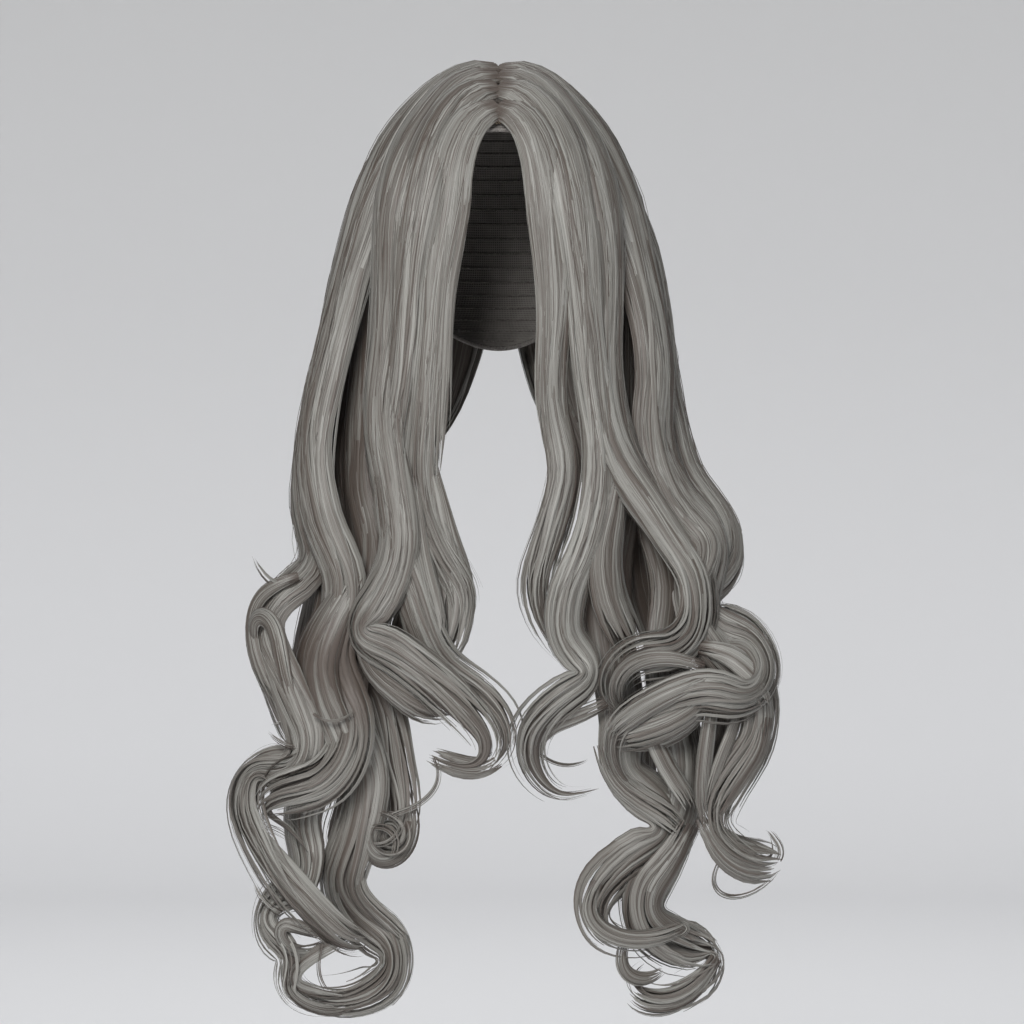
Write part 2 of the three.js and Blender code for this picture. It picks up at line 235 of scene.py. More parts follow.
# band that the locks are sewn to
def trackFor(locks, thick):
    roots = [rootDirection(*lock["root"]) for lock in locks if lock["root"]]
    first, last = roots[0], roots[-1]
    lift = headForm["capWall"] + headForm["gap"] + thick / 2
    folds = []
    for step in range(headForm["steps"] + 1):
        direction = unit(first + (last - first) * step / headForm["steps"])
        folds.append(direction * (headForm["half"] + lift) + headMiddle())
    return lockFrom(None, (lockForm["trackWidth"],) * 4, thick, folds)


# a value in a node tree, so that formulas can be written as such
class Field:
    def __init__(self, nodes, socket):
        self.nodes, self.socket = nodes, socket
        self.isVector = socket.type in ("VECTOR", "RGBA")

    def math(self, operation, *values):
        kind = "ShaderNodeVectorMath" if self.isVector else "ShaderNodeMath"
        return self.nodes.add(kind, dict(enumerate((self, *values))), operation=operation)

    def __add__(self, other):
        return self.math("ADD", other)

    def __sub__(self, other):
        return self.math("SUBTRACT", other)

    def __mul__(self, other):
        if not self.isVector:
            return self.math("MULTIPLY", other)
        return self.nodes.add("ShaderNodeVectorMath", {0: self, "Scale": other},
                              operation="SCALE")

    def __truediv__(self, other):
        return self.math("DIVIDE", other)


# a node tree, of geometry or of a shader
class Nodes:
    def __init__(self, tree):
        self.tree = tree

    def fill(self, socket, value):
        if isinstance(value, Field):
            self.tree.links.new(value.socket, socket)
        else:
            socket.default_value = value

    def add(self, kind, values=None, output=0, **settings):
        node = self.tree.nodes.new(kind)
        for name, value in settings.items():
            setattr(node, name, value)
        for name, value in (values or {}).items():
            self.fill(node.inputs[name], value)
        if isinstance(output, tuple):
            return [Field(self, node.outputs[name]) for name in output]
        return Field(self, node.outputs[output])

    def random(self, low, high, seed):
        return self.add("FunctionNodeRandomValue", {2: low, 3: high, "Seed": seed}, 1,
                        data_type="FLOAT")

    def ranged(self, value, low, high, toLow=0.0, toHigh=1.0, kind="SMOOTHSTEP"):
        return self.add("ShaderNodeMapRange",
                        {"Value": value, "From Min": low, "From Max": high, "To Min": toLow,
                         "To Max": toHigh}, interpolation_type=kind)

    def read(self, name, kind="FLOAT"):
        return self.add("GeometryNodeInputNamedAttribute", {"Name": name}, "Attribute",
                        data_type=kind)

    def readVector(self, name):
        return self.read(name, "FLOAT_VECTOR")

    def keep(self, geometry, name, value, domain="POINT"):
        return self.add("GeometryNodeStoreNamedAttribute",
                        {"Geometry": geometry, "Name": name, "Value": value}, domain=domain,
                        data_type="FLOAT_VECTOR" if value.isVector else "FLOAT")

    # random values, one for each wisp or strand
    def pick(self, geometry, seed, ranges):
        for step, (name, (low, high)) in enumerate(ranges.items(), 1):
            value = self.random(low, high, seed + step)
            geometry = self.keep(geometry, name, value, "CURVE")
        return geometry

    # noise along a wisp or strand, a different one for each
    def drift(self, seedName, waves, shift):
        place = self.add("ShaderNodeCombineXYZ", {"X": self.read("run") * waves,
                                                  "Y": self.read(seedName) + shift})
        noise = self.add("ShaderNodeTexNoise", {"Vector": place, "Scale": 1.0, "Detail": 1.0},
                         "Color")
        return (noise - (0.5, 0.5, 0.5)) * 2.0

    # where the streaks are read, along a wisp or strand
    def streakPlace(self, seedName):
        return self.add("ShaderNodeCombineXYZ", {"X": self.read(seedName),
                                                 "Z": self.read("run") * streakRun})

    def taper(self, start, thinnest, power):
        factor = self.add("GeometryNodeSplineParameter", output="Factor")
        return self.ranged(factor, 1.0, start, thinnest, 1.0, "LINEAR").math("POWER", power)


def newTree(name, sizes):
    tree = bpy.data.node_groups.new(name, "GeometryNodeTree")
    for way in ("OUTPUT", "INPUT"):
        tree.interface.new_socket("Geometry", in_out=way, socket_type="NodeSocketGeometry")
    for label, value in sizes.items():
        kind = {int: "NodeSocketInt", float: "NodeSocketFloat"}.get(type(value))
        socket = tree.interface.new_socket(label, in_out="INPUT",
                                           socket_type=kind or "NodeSocketMaterial")
        if kind:
            socket.default_value = value
    nodes = Nodes(tree)
    source = {socket.name: Field(nodes, socket)
              for socket in tree.nodes.new("NodeGroupInput").outputs}
    return nodes, source, tree.nodes.new("NodeGroupOutput").inputs["Geometry"]


streakRun = 5.5              # texture units in a metre of hair

wispSizes = {
    "Wisps": 26,             # for each lock
    "Front Share": 0.68,     # of the wisps, the rest lie behind
    "Wisp Width": 0.165,     # share of the lock's width
    "Twist": 0.5,            # how far a wisp moves round its lock
    "Wander": 0.003,
    "Tip Spread": 0.7,
    "Shortest": 0.84,
    "Root Width": 0.55,
    "Roundness": 0.75,       # how round a lock looks in the light
    "Seed": 1,
}

wispForm = {
    "jitter": (0.1, 0.9),
    "twistNoise": (9.0, 0.0),          # waves in a metre, and a shift between the noises
    "wanderNoise": (11.0, 40.0),
    "inward": 0.45,                    # the side towards the cap stays close
    "frayPower": 4.0,
    "free": (0.05, 0.3),               # metres from the root over which wisps come free
    "rootShade": 1.6, "rootDark": 0.012,
    "tip": (0.72, 0.04, 0.7),
    "rootRun": 0.03,
    "ring": 1.15,
    "streaks": 1.1,                    # texture units over half a wisp's width
    "own": 0.3,                        # share of its own normal, the rest is the lock's
}

strandForm = {
    "seedShift": 50,
    "tone": (-0.8, 0.6),
    "picks": {"strandSeed": (0.0, 900.0), "angle": (-0.4, 3.5), "reach": (0.7, 1.3),
              "strandSize": (0.7, 1.25), "strandEnd": (0.86, 1.0), "stray": (0.0, 1.0)},
    "strayPower": 7.0, "strayLeast": 0.16,
    "strayNoise": (14.0, 7.0),
    "free": (0.04, 0.35),
    "tip": (0.6, 0.05, 0.6),
    "own": 0.35,
}


# lines that the wisps of each lock follow, laid round the lock's flat section
def wispPathsTree():
    nodes, source, result = newTree("wispPaths", wispSizes)
    read, seed, front = nodes.read, source["Seed"], source["Front Share"]
    curve = nodes.add("GeometryNodeMeshToCurve", {"Mesh": source["Geometry"]})
    wisps, number = nodes.add("GeometryNodeDuplicateElements",
                              {"Geometry": curve, "Amount": source["Wisps"]},
                              ("Geometry", "Duplicate Index"), domain="SPLINE")
    share = (number + nodes.random(*wispForm["jitter"], seed)) / source["Wisps"]
    behind = share.math("GREATER_THAN", front)
    back = nodes.add("ShaderNodeMath", {0: 1.0, 1: front}, operation="SUBTRACT")
    spot = nodes.add("GeometryNodeSwitch",
                     {"Switch": behind, "False": share / front, "True": (share - front) / back},
                     input_type="FLOAT")
    turn = spot.math("MULTIPLY_ADD", -2.0, 1.0).math("ARCCOSINE")
    turn = turn * behind.math("MULTIPLY_ADD", -2.0, 1.0)
    wisps = nodes.keep(wisps, "turn", turn, "CURVE")
    wisps = nodes.pick(wisps, seed, {
        "wispSeed": (0.0, 900.0), "wispDepth": (0.86, 1.02), "wispTone": (0.0, 1.0),
        "wispSize": (0.7, 1.3), "fray": (-0.4, 1.0), "wispEnd": (source["Shortest"], 1.0)})

    halfWidth, halfThick = read("halfWidth"), read("halfThick")
    across, outward = nodes.readVector("across"), nodes.readVector("outward")
    twist = nodes.drift("wispSeed", *wispForm["twistNoise"])
    twist = nodes.add("ShaderNodeSeparateXYZ", {0: twist}, "X")
    turn = read("turn") + twist * source["Twist"]
    cosine, sine = turn.math("COSINE"), turn.math("SINE")
    sine = sine.math("MAXIMUM", sine * wispForm["inward"])
    loose = (read("along").math("POWER", wispForm["frayPower"])
             * (read("fray") * source["Tip Spread"]))
    depth = read("wispDepth") * (loose + 1.0)
    side = halfWidth * cosine * depth
    bow = side * side / (2 * lockForm["bowRadius"] * mm)
    rise = halfThick * sine * depth - bow
    free = nodes.ranged(read("run"), *wispForm["free"])
    wander = nodes.drift("wispSeed", *wispForm["wanderNoise"]) * (free * source["Wander"])

    normal = across * (cosine / halfWidth) + outward * (sine / halfThick)
    tangent = nodes.add("GeometryNodeInputTangent")
    flat = normal.math("NORMALIZE").math("CROSS_PRODUCT", tangent).math("NORMALIZE")
    turned = (across * (cosine * source["Roundness"]) + outward * sine
              + tangent * read("lean"))
    dark = nodes.ranged(read("run"), 0.0, wispForm["rootDark"], wispForm["rootShade"], 0.0)
    for name, value in (
            ("wispFlat", flat), ("wispNormal", tangent.math("CROSS_PRODUCT", flat)),
            ("wispHalf", halfWidth * source["Wisp Width"] * read("wispSize")),
            ("lockNormal", turned.math("NORMALIZE")),
            # tone less the darker roots and the painted shade under other hair and in the hollows
            ("tone", read("wispTone") - (dark + read("under")))):
        wisps = nodes.keep(wisps, name, value)
    wisps = nodes.add("GeometryNodeSetPosition",
                      {"Geometry": wisps, "Offset": across * side + outward * rise + wander})
    wisps = nodes.add("GeometryNodeTrimCurve", {"Curve": wisps, "End": read("wispEnd")})
    root = nodes.ranged(read("run"), 0.0, wispForm["rootRun"], source["Root Width"], 1.0)
    half = read("wispHalf") * (nodes.taper(*wispForm["tip"]) * root)
    nodes.fill(result, nodes.keep(wisps, "wispHalf", half))
    return nodes.tree


def addWispPaths(nodes, source, paths):
    return nodes.add("GeometryNodeGroup",
                     {name: source[name] for name in ("Geometry", *wispSizes)}, node_tree=paths)


def addMaterial(nodes, result, mesh, material):
    mesh = nodes.add("GeometryNodeRealizeInstances", {"Geometry": mesh})
    nodes.fill(result, nodes.add("GeometryNodeSetMaterial",
                                 {"Geometry": mesh, "Material": material}))


# light falls on a wisp mostly as it does on the whole lock
def addHairShading(nodes, mesh, fibre, own):
    mesh = nodes.keep(mesh, "fibre", fibre)
    mesh = nodes.add("GeometryNodeSetShadeSmooth", {"Geometry": mesh})
    normal = (nodes.add("GeometryNodeInputNormal") * own
              + nodes.readVector("lockNormal") * (1 - own))
    return nodes.keep(mesh, "shadeNormal", normal.math("NORMALIZE"))


# flat tapering wisps with a low ridge, closed underneath
def wispBodiesTree(paths):
    nodes, source, result = newTree("wispBodies",
                                    {**wispSizes, "Flatness": 0.24, "Material": None})
    wisps = nodes.add("GeometryNodeSetCurveNormal",
                      {"Curve": addWispPaths(nodes, source, paths),
                       "Normal": nodes.readVector("wispFlat")}, mode="FREE")
    ring = nodes.add("GeometryNodeCurvePrimitiveCircle",
                     {"Resolution": 3, "Radius": wispForm["ring"]})
    ring = nodes.add("GeometryNodeTransform",
                     {"Geometry": ring, "Rotation": (0, 0, math.pi / 2)})
    ring = nodes.keep(ring, "profile", nodes.add("GeometryNodeInputPosition"))
    squeeze = nodes.add("ShaderNodeCombineXYZ", {"X": 1.0, "Y": source["Flatness"], "Z": 1.0})
    ring = nodes.add("GeometryNodeTransform", {"Geometry": ring, "Scale": squeeze})
    mesh = nodes.add("GeometryNodeCurveToMesh",
                     {"Curve": wisps, "Profile Curve": ring, "Scale": nodes.read("wispHalf"),
                      "Fill Caps": True})
    fibre = (nodes.readVector("profile") * wispForm["streaks"]
             + nodes.streakPlace("wispSeed"))
    mesh = addHairShading(nodes, mesh, fibre, wispForm["own"])
    addMaterial(nodes, result, mesh, source["Material"])
    return nodes.tree


# single strands that lie on the wisps, a few of them straying
def wispStrandsTree(paths):
    sizes = {**wispSizes, "Strands": 3, "Strand Width": 0.0005, "Lift": 0.4, "Stray": 0.007,
             "Material": None}
    nodes, source, result = newTree("wispStrands", sizes)
    read, seed = nodes.read, source["Seed"] + strandForm["seedShift"]
    strands = nodes.add("GeometryNodeDuplicateElements",
                        {"Geometry": addWispPaths(nodes, source, paths),
                         "Amount": source["Strands"]}, domain="SPLINE")
    strands = nodes.keep(strands, "strandTone", nodes.random(*strandForm["tone"], seed), "CURVE")
    strands = nodes.keep(strands, "tone", read("tone") + read("strandTone"))
    strands = nodes.pick(strands, seed, strandForm["picks"])
    half = read("wispHalf") * read("reach")
    side = half * read("angle").math("COSINE")
    rise = half * read("angle").math("SINE") * source["Lift"]
    offset = nodes.readVector("wispFlat") * side + nodes.readVector("wispNormal") * rise
    loose = read("stray").math("POWER", strandForm["strayPower"]) + strandForm["strayLeast"]
    loose = loose * nodes.ranged(read("run"), *strandForm["free"])
    drift = nodes.drift("strandSeed", *strandForm["strayNoise"]) * (loose * source["Stray"])
    strands = nodes.add("GeometryNodeSetPosition",
                        {"Geometry": strands, "Offset": offset + drift})
    strands = nodes.add("GeometryNodeTrimCurve", {"Curve": strands, "End": read("strandEnd")})
    size = read("strandSize") * (source["Strand Width"] * 0.5)
    ring = nodes.add("GeometryNodeCurvePrimitiveCircle", {"Resolution": 3, "Radius": 1.0})
    mesh = nodes.add("GeometryNodeCurveToMesh",
                     {"Curve": strands, "Profile Curve": ring,
                      "Scale": size * nodes.taper(*strandForm["tip"]), "Fill Caps": True})
    mesh = addHairShading(nodes, mesh, nodes.streakPlace("strandSeed"), strandForm["own"])
    addMaterial(nodes, result, mesh, source["Material"])
    return nodes.tree


streakForm = {
    "fine": {"Scale": 2.4, "Detail": 3.0, "Roughness": 0.6}, "fineShare": 0.65,
    "broad": {"Scale": 0.7, "Detail": 1.0}, "broadShare": 0.35,
}


# fine streaks that run with the hair
def fibreStreaksEffect():
    group = bpy.data.node_groups.new("fibreStreaks", "ShaderNodeTree")
    inputs = {"Fibre": (0, 0, 0), "Tone": 0.5, "Contrast": 0.6, "Tone Share": 0.5}
    for label, value in inputs.items():
        kind = "NodeSocketVector" if label == "Fibre" else "NodeSocketFloat"
        socket = group.interface.new_socket(label, in_out="INPUT", socket_type=kind)
        socket.default_value = value
    for label in ("Shade", "Height"):
        group.interface.new_socket(label, in_out="OUTPUT", socket_type="NodeSocketFloat")
    nodes = Nodes(group)
    fibre, tone, contrast, toneShare = nodes.add("NodeGroupInput", output=tuple(inputs))
    result = group.nodes.new("NodeGroupOutput").inputs
    fine = nodes.add("ShaderNodeTexNoise", {"Vector": fibre, **streakForm["fine"]})
    broad = nodes.add("ShaderNodeTexNoise", {"Vector": fibre, **streakForm["broad"]})
    grain = fine * streakForm["fineShare"] + broad * streakForm["broadShare"]
    shade = (grain - 0.5) * contrast + (tone - 0.5) * toneShare
    nodes.fill(result["Shade"], shade + 0.5)
    nodes.fill(result["Height"], fine)
    return group


def newMaterial(name, look):
    material = bpy.data.materials.new(name)
    material.use_nodes = True
    nodes = Nodes(material.node_tree)
    shader = material.node_tree.nodes["Principled BSDF"].inputs
    shader["Roughness"].default_value = look["roughness"]
    shader["Specular IOR Level"].default_value = look["specular"]
    return material, nodes, shader


def addRamp(nodes, value, stops):
    ramp = nodes.tree.nodes.new("ShaderNodeValToRGB")
    nodes.fill(ramp.inputs["Fac"], value)
    elements = ramp.color_ramp.elements
    elements[0].position, elements[-1].position = stops[0][0], stops[-1][0]
    for place, colour in stops[1:-1]:
        elements.new(place)
    for element, (place, colour) in zip(elements, stops):
        element.position = place
        element.color = (*colour, 1)
    return Field(nodes, ramp.outputs["Color"])


def lookRamp(nodes, value, look):
    colours = [look[tone] for tone in ("dark", "middle", "light") if tone in look]
    return addRamp(nodes, value, list(zip(look["stops"], colours)))


def addSurface(nodes, shader, look, colour, height):
    nodes.fill(shader["Base Color"], colour)
    nodes.fill(shader["Normal"], nodes.add("ShaderNodeBump", {
        "Strength": look["bump"], "Distance": look["bumpDepth"], "Height": height}))


fibreLook = {
    "dark": (0.084, 0.067, 0.057),
    "middle": (0.16, 0.152, 0.138),
    "light": (0.278, 0.275, 0.257),
    "stops": (0.15, 0.5, 0.85),
    "contrast": 2.4, "toneShare": 0.45,
    "roughness": 0.46, "specular": 0.45,
    "bump": 0.3, "bumpDepth": 0.0006,
}

# darker, warmer hair for the cores: painted shade deep inside the locks
shadedCoreLook = {
    "dark": (0.06, 0.047, 0.04),
    "middle": (0.112, 0.097, 0.087),
    "light": (0.178, 0.165, 0.152),
    "stops": (0.15, 0.5, 0.85),
    "contrast": 2.4, "toneShare": 0.3,
    "roughness": 0.6, "specular": 0.3,
    "bump": 0.4, "bumpDepth": 0.0006,
}


def hairMaterial(name, look, streaks):
    material, nodes, shader = newMaterial(name, look)
    values = {
        "Fibre": nodes.add("ShaderNodeAttribute", output="Vector", attribute_name="fibre"),
        "Tone": nodes.add("ShaderNodeAttribute", output="Fac", attribute_name="tone"),
        "Contrast": look["contrast"], "Tone Share": look["toneShare"],
    }
    shade, height = nodes.add("ShaderNodeGroup", values, ("Shade", "Height"), node_tree=streaks)
    addSurface(nodes, shader, look, lookRamp(nodes, shade, look), height)
    return material


# a normal for each corner, turned over on faces that look the other way
def cornerNormals(mesh, normals):
    corners = np.empty(len(mesh.loops), np.int32)
    mesh.loops.foreach_get("vertex_index", corners)
    sizes = np.empty(len(mesh.polygons), np.int32)
    mesh.polygons.foreach_get("loop_total", sizes)
    faces = np.empty(len(mesh.polygons) * 3, np.float32)
    mesh.polygon_normals.foreach_get("vector", faces)
    faces = np.repeat(faces.reshape(-1, 3), sizes, axis=0)
    normals = normals[corners]
    facing = np.sum(normals * faces, axis=1, keepdims=True)
    return np.where(facing < 0, normals - 2 * facing * faces, normals)


def newMesh(name, points, edges=(), faces=()):
    mesh = bpy.data.meshes.new(name)
    mesh.from_pydata([tuple(point) for point in points], edges, faces)
    return mesh


def newPiece(name, mesh):
    piece = bpy.data.objects.new(name, mesh)
    scene.collection.objects.link(piece)
    return piece


def facePiece(name, points, faces, material):
    mesh = newMesh(name, points, faces=faces)
    mesh.shade_smooth()
    mesh.materials.append(material)
    return newPiece(name, mesh)


def storeLayer(mesh, label, values):
    values = np.asarray(values, np.float32)
    kind, slot = ("FLOAT", "value") if values.ndim == 1 else ("FLOAT_VECTOR", "vector")
    mesh.attributes.new(label, kind, "POINT").data.foreach_set(slot, values.ravel())


def ringFaces(first, rings, sides):
    faces = []
    for low in range(first, first + (rings - 1) * sides, sides):
        for corner in range(sides):
            after = (corner + 1) % sides
            faces.append((low + corner, low + after, low + sides + after, low + sides + corner))
    return faces


def tubeFaces(first, rings, sides):
    last = first + (rings - 1) * sides
    return ringFaces(first, rings, sides) + [
        tuple(range(first + sides - 1, first - 1, -1)), tuple(range(last, last + sides))]


# makes guides into hair or seams and leaves a plain mesh
def grow(name, guides, tree, values):
    holder = newPiece(name + "Guides", guides)
    modifier = holder.modifiers.new("grow", "NODES")
    modifier.node_group = tree
    for item in tree.interface.items_tree:
        if item.in_out == "INPUT" and item.name in values:
            modifier[item.identifier] = values[item.name]
    bpy.context.view_layer.update()
    depsgraph = bpy.context.evaluated_depsgraph_get()
    mesh = bpy.data.meshes.new_from_object(holder.evaluated_get(depsgraph),
                                           preserve_all_data_layers=True, depsgraph=depsgraph)
    bpy.data.objects.remove(holder)
    normals = np.zeros(len(mesh.vertices) * 3, np.float32)
    if "shadeNormal" in mesh.attributes:
        mesh.attributes["shadeNormal"].data.foreach_get("vector", normals)
    for label in [item.name for item in mesh.attributes]:
        layer = mesh.attributes[label]
        if label not in ("fibre", "tone") and not layer.is_required and not layer.is_internal:
            mesh.attributes.remove(layer)
    if normals.any():
        mesh.normals_split_custom_set(cornerNormals(mesh, normals.reshape(-1, 3)))
    mesh.name = name
    return newPiece(name, mesh)


def guideMesh(name, guides):
    points, edges = [], []
    for guide in guides:
        first = len(points)
        points.extend(guide["point"])
        edges.extend((index, index + 1) for index in range(first, len(points) - 1))
    mesh = newMesh(name, points, edges)
    for label in ("across", "outward", "halfWidth", "halfThick", "lean", "under", "run", "along"):
        storeLayer(mesh, label, np.concatenate([guide[label] for guide in guides]))
    return mesh


coreForm = {
    "sides": 8, "share": 0.84,
    "tip": 0.25, "tipPower": 0.8, "tipLeast": 0.01,
    "streaks": (8, 4), "streakShift": 40,    # texture units round a core, and between cores
    "tone": 0.5,
}


# the dense middle of each lock, a little inside its solid
def corePiece(name, guides, material):
    points, faces, fibre = [], [], []
    sides = coreForm["sides"]
    turns = np.arange(sides) / sides * math.tau
    wide, deep = coreForm["streaks"]
    for number, guide in enumerate(guides):
        faces.extend(tubeFaces(len(points), len(guide["point"]), sides))
        shift = coreForm["streakShift"] * number
        for ring, centre in enumerate(guide["point"]):
            left = min(1, (1 - guide["along"][ring]) / coreForm["tip"] + coreForm["tipLeast"])
            share = coreForm["share"] * left ** coreForm["tipPower"]
            side = guide["halfWidth"][ring] * share * np.cos(turns)
            rise = guide["halfThick"][ring] * share * np.sin(turns)
            rise = rise - side ** 2 / (2 * lockForm["bowRadius"] * mm)
            points.extend(centre + np.outer(side, guide["across"][ring])
                          + np.outer(rise, guide["outward"][ring]))
            fibre.extend((wide * math.cos(turn) + shift, deep * math.sin(turn),
                          guide["run"][ring] * streakRun) for turn in turns)
    piece = facePiece(name, points, faces, material)
    storeLayer(piece.data, "fibre", fibre)
    storeLayer(piece.data, "tone", [coreForm["tone"]] * len(points))
    return piece


streaks = fibreStreaksEffect()
hairFibre = hairMaterial("hairFibre", fibreLook, streaks)
hairShadedCore = hairMaterial("hairShadedCore", shadedCoreLook, streaks)

# locks of hair in mm, as the solids have them: root (x, y), widths at the root, where the lock
# leaves the cap, as it hangs and at the tip, thickness, and a place for each fold from there on;
# the last lock of a curtain branches off the others
rightCurtain = [
    ((-3, -67), (16, 24, 22, 4), 10, [(-37, -97, -87), (-45, -98, -180), (-50, -98, -288),
        (-36, -104, -325), (-21, -108, -352), (-30, -104, -394)]),
    ((-3, -53), (16, 30, 27, 5), 13, [(-53, -92, -82), (-62, -92, -180), (-72, -96, -283),
        (-58, -106, -345), (-39, -112, -394), (-13, -116, -413), (3, -114, -432), (6, -106, -452),
        (-8, -100, -468)]),
    ((-3, -37), (18, 32, 31, 5), 13, [(-66, -82, -78), (-72, -84, -175), (-77, -92, -235),
        (-68, -100, -290), (-66, -104, -322), (-77, -110, -352), (-91, -114, -376),
        (-70, -124, -385), (-45, -126, -405), (-22, -126, -427), (-7, -118, -448),
        (-14, -108, -464), (-49, -104, -457)]),
    ((-3, -19), (20, 34, 35, 5), 14, [(-80, -56, -72), (-105, -58, -160), (-123, -70, -245),
        (-120, -84, -295), (-103, -94, -345), (-112, -104, -392), (-97, -112, -440),
        (-112, -116, -471), (-143, -112, -481), (-156, -102, -494), (-141, -96, -503),
        (-124, -100, -524)]),
    ((-3, 1), (20, 36, 34, 5), 13, [(-91, -22, -82), (-113, -26, -170), (-131, -48, -283),
        (-122, -72, -328), (-146, -84, -353), (-156, -94, -374), (-140, -106, -415),
        (-127, -104, -452), (-140, -94, -467), (-160, -90, -466), (-169, -96, -488),
        (-157, -106, -520), (-132, -112, -557), (-100, -108, -583), (-86, -102, -584)]),
    (None, (12, 12, 20, 4), 9, [(-92, -110, -366), (-84, -116, -396), (-66, -118, -413),
        (-48, -116, -426), (-29, -110, -430)]),
]

leftCurtain = [
    ((3, -67), (16, 24, 22, 4), 10, [(37, -97, -87), (39, -98, -153), (35, -96, -220),
        (44, -98, -268), (36, -102, -305), (25, -106, -345), (32, -108, -375), (50, -104, -400)]),
    ((3, -53), (16, 30, 27, 4), 13, [(52, -92, -82), (62, -92, -190), (69, -98, -267),
        (60, -104, -315), (46, -110, -350), (45, -116, -378), (62, -118, -402), (40, -120, -420),
        (23, -114, -440), (23, -106, -462), (40, -100, -483), (70, -98, -478)]),
    ((3, -37), (18, 32, 31, 4), 13, [(65, -82, -80), (70, -84, -150), (70, -88, -205),
        (80, -94, -255), (108, -100, -300), (131, -104, -338), (130, -112, -375),
        (112, -120, -391), (92, -122, -392), (76, -114, -408), (83, -106, -424),
        (101, -108, -416)]),
    ((3, -19), (20, 34, 35, 5), 14, [(78, -56, -72), (96, -58, -140), (106, -64, -200),
        (104, -76, -248), (120, -88, -287), (142, -90, -315), (133, -96, -362), (150, -104, -388),
        (172, -100, -412), (172, -94, -445), (150, -98, -480), (143, -102, -503),
        (160, -108, -520), (184, -104, -526), (180, -98, -508)]),
    ((3, 1), (20, 36, 34, 5), 13, [(87, -22, -82), (103, -24, -125), (117, -36, -222),
        (129, -50, -268), (154, -64, -306), (152, -74, -332), (133, -84, -350), (140, -94, -366),
        (166, -98, -378), (176, -108, -402), (162, -116, -418), (135, -120, -412),
        (102, -122, -422), (77, -116, -442), (80, -108, -468), (104, -104, -488)]),
    (None, (12, 12, 19, 5), 9, [(140, -117, -411), (126, -112, -434), (100, -110, -446),
        (80, -106, -447)]),
]

rightSide = [
    ((-71, -22), (20, 26, 36, 6), 13, [(-84, -34, -120), (-88, -50, -200), (-92, -64, -280),
        (-84, -80, -325), (-98, -88, -380), (-104, -94, -425), (-88, -98, -470), (-97, -98, -515),
        (-105, -92, -542), (-92, -90, -567), (-69, -94, -585), (-70, -100, -603),
        (-90, -104, -616), (-116, -102, -618), (-135, -97, -606), (-131, -92, -588)]),
    ((-73, 0), (20, 26, 36, 6), 13, [(-90, -6, -125), (-100, -18, -200), (-108, -38, -268),
        (-98, -66, -335), (-102, -78, -380), (-80, -82, -425), (-72, -86, -465), (-67, -88, -497),
        (-78, -84, -522), (-94, -80, -530)]),
    ((-71, 22), (20, 26, 34, 6), 13, [(-92, 18, -130), (-104, 6, -205), (-116, -14, -285),
        (-120, -48, -345), (-128, -66, -400), (-116, -76, -450), (-132, -80, -500),
        (-126, -86, -537), (-150, -92, -556), (-154, -100, -572), (-135, -107, -590),
        (-142, -105, -608), (-128, -100, -623), (-98, -98, -627)]),
]

leftSide = [
    ((71, -22), (20, 26, 36, 6), 13, [(82, -34, -120), (80, -52, -200), (82, -68, -280),
        (74, -84, -340), (78, -92, -395), (84, -96, -440), (82, -98, -466), (107, -98, -490),
        (112, -96, -508), (81, -96, -532), (64, -98, -553), (67, -102, -573), (95, -104, -582),
        (126, -98, -573)]),
    ((73, 0), (20, 26, 36, 6), 13, [(88, -6, -125), (98, -20, -200), (100, -44, -280),
        (116, -66, -345), (112, -80, -400), (124, -86, -450), (124, -88, -495), (105, -88, -532),
        (94, -90, -560), (112, -94, -582), (146, -92, -590), (132, -98, -607), (105, -100, -617),
        (86, -96, -605), (100, -92, -594)]),
    ((71, 22), (20, 26, 36, 6), 13, [(90, 18, -130), (102, 4, -205), (112, -18, -275),
        (124, -46, -325), (130, -68, -370), (150, -80, -405), (150, -82, -445), (136, -82, -482),
        (132, -80, -515)]),
]

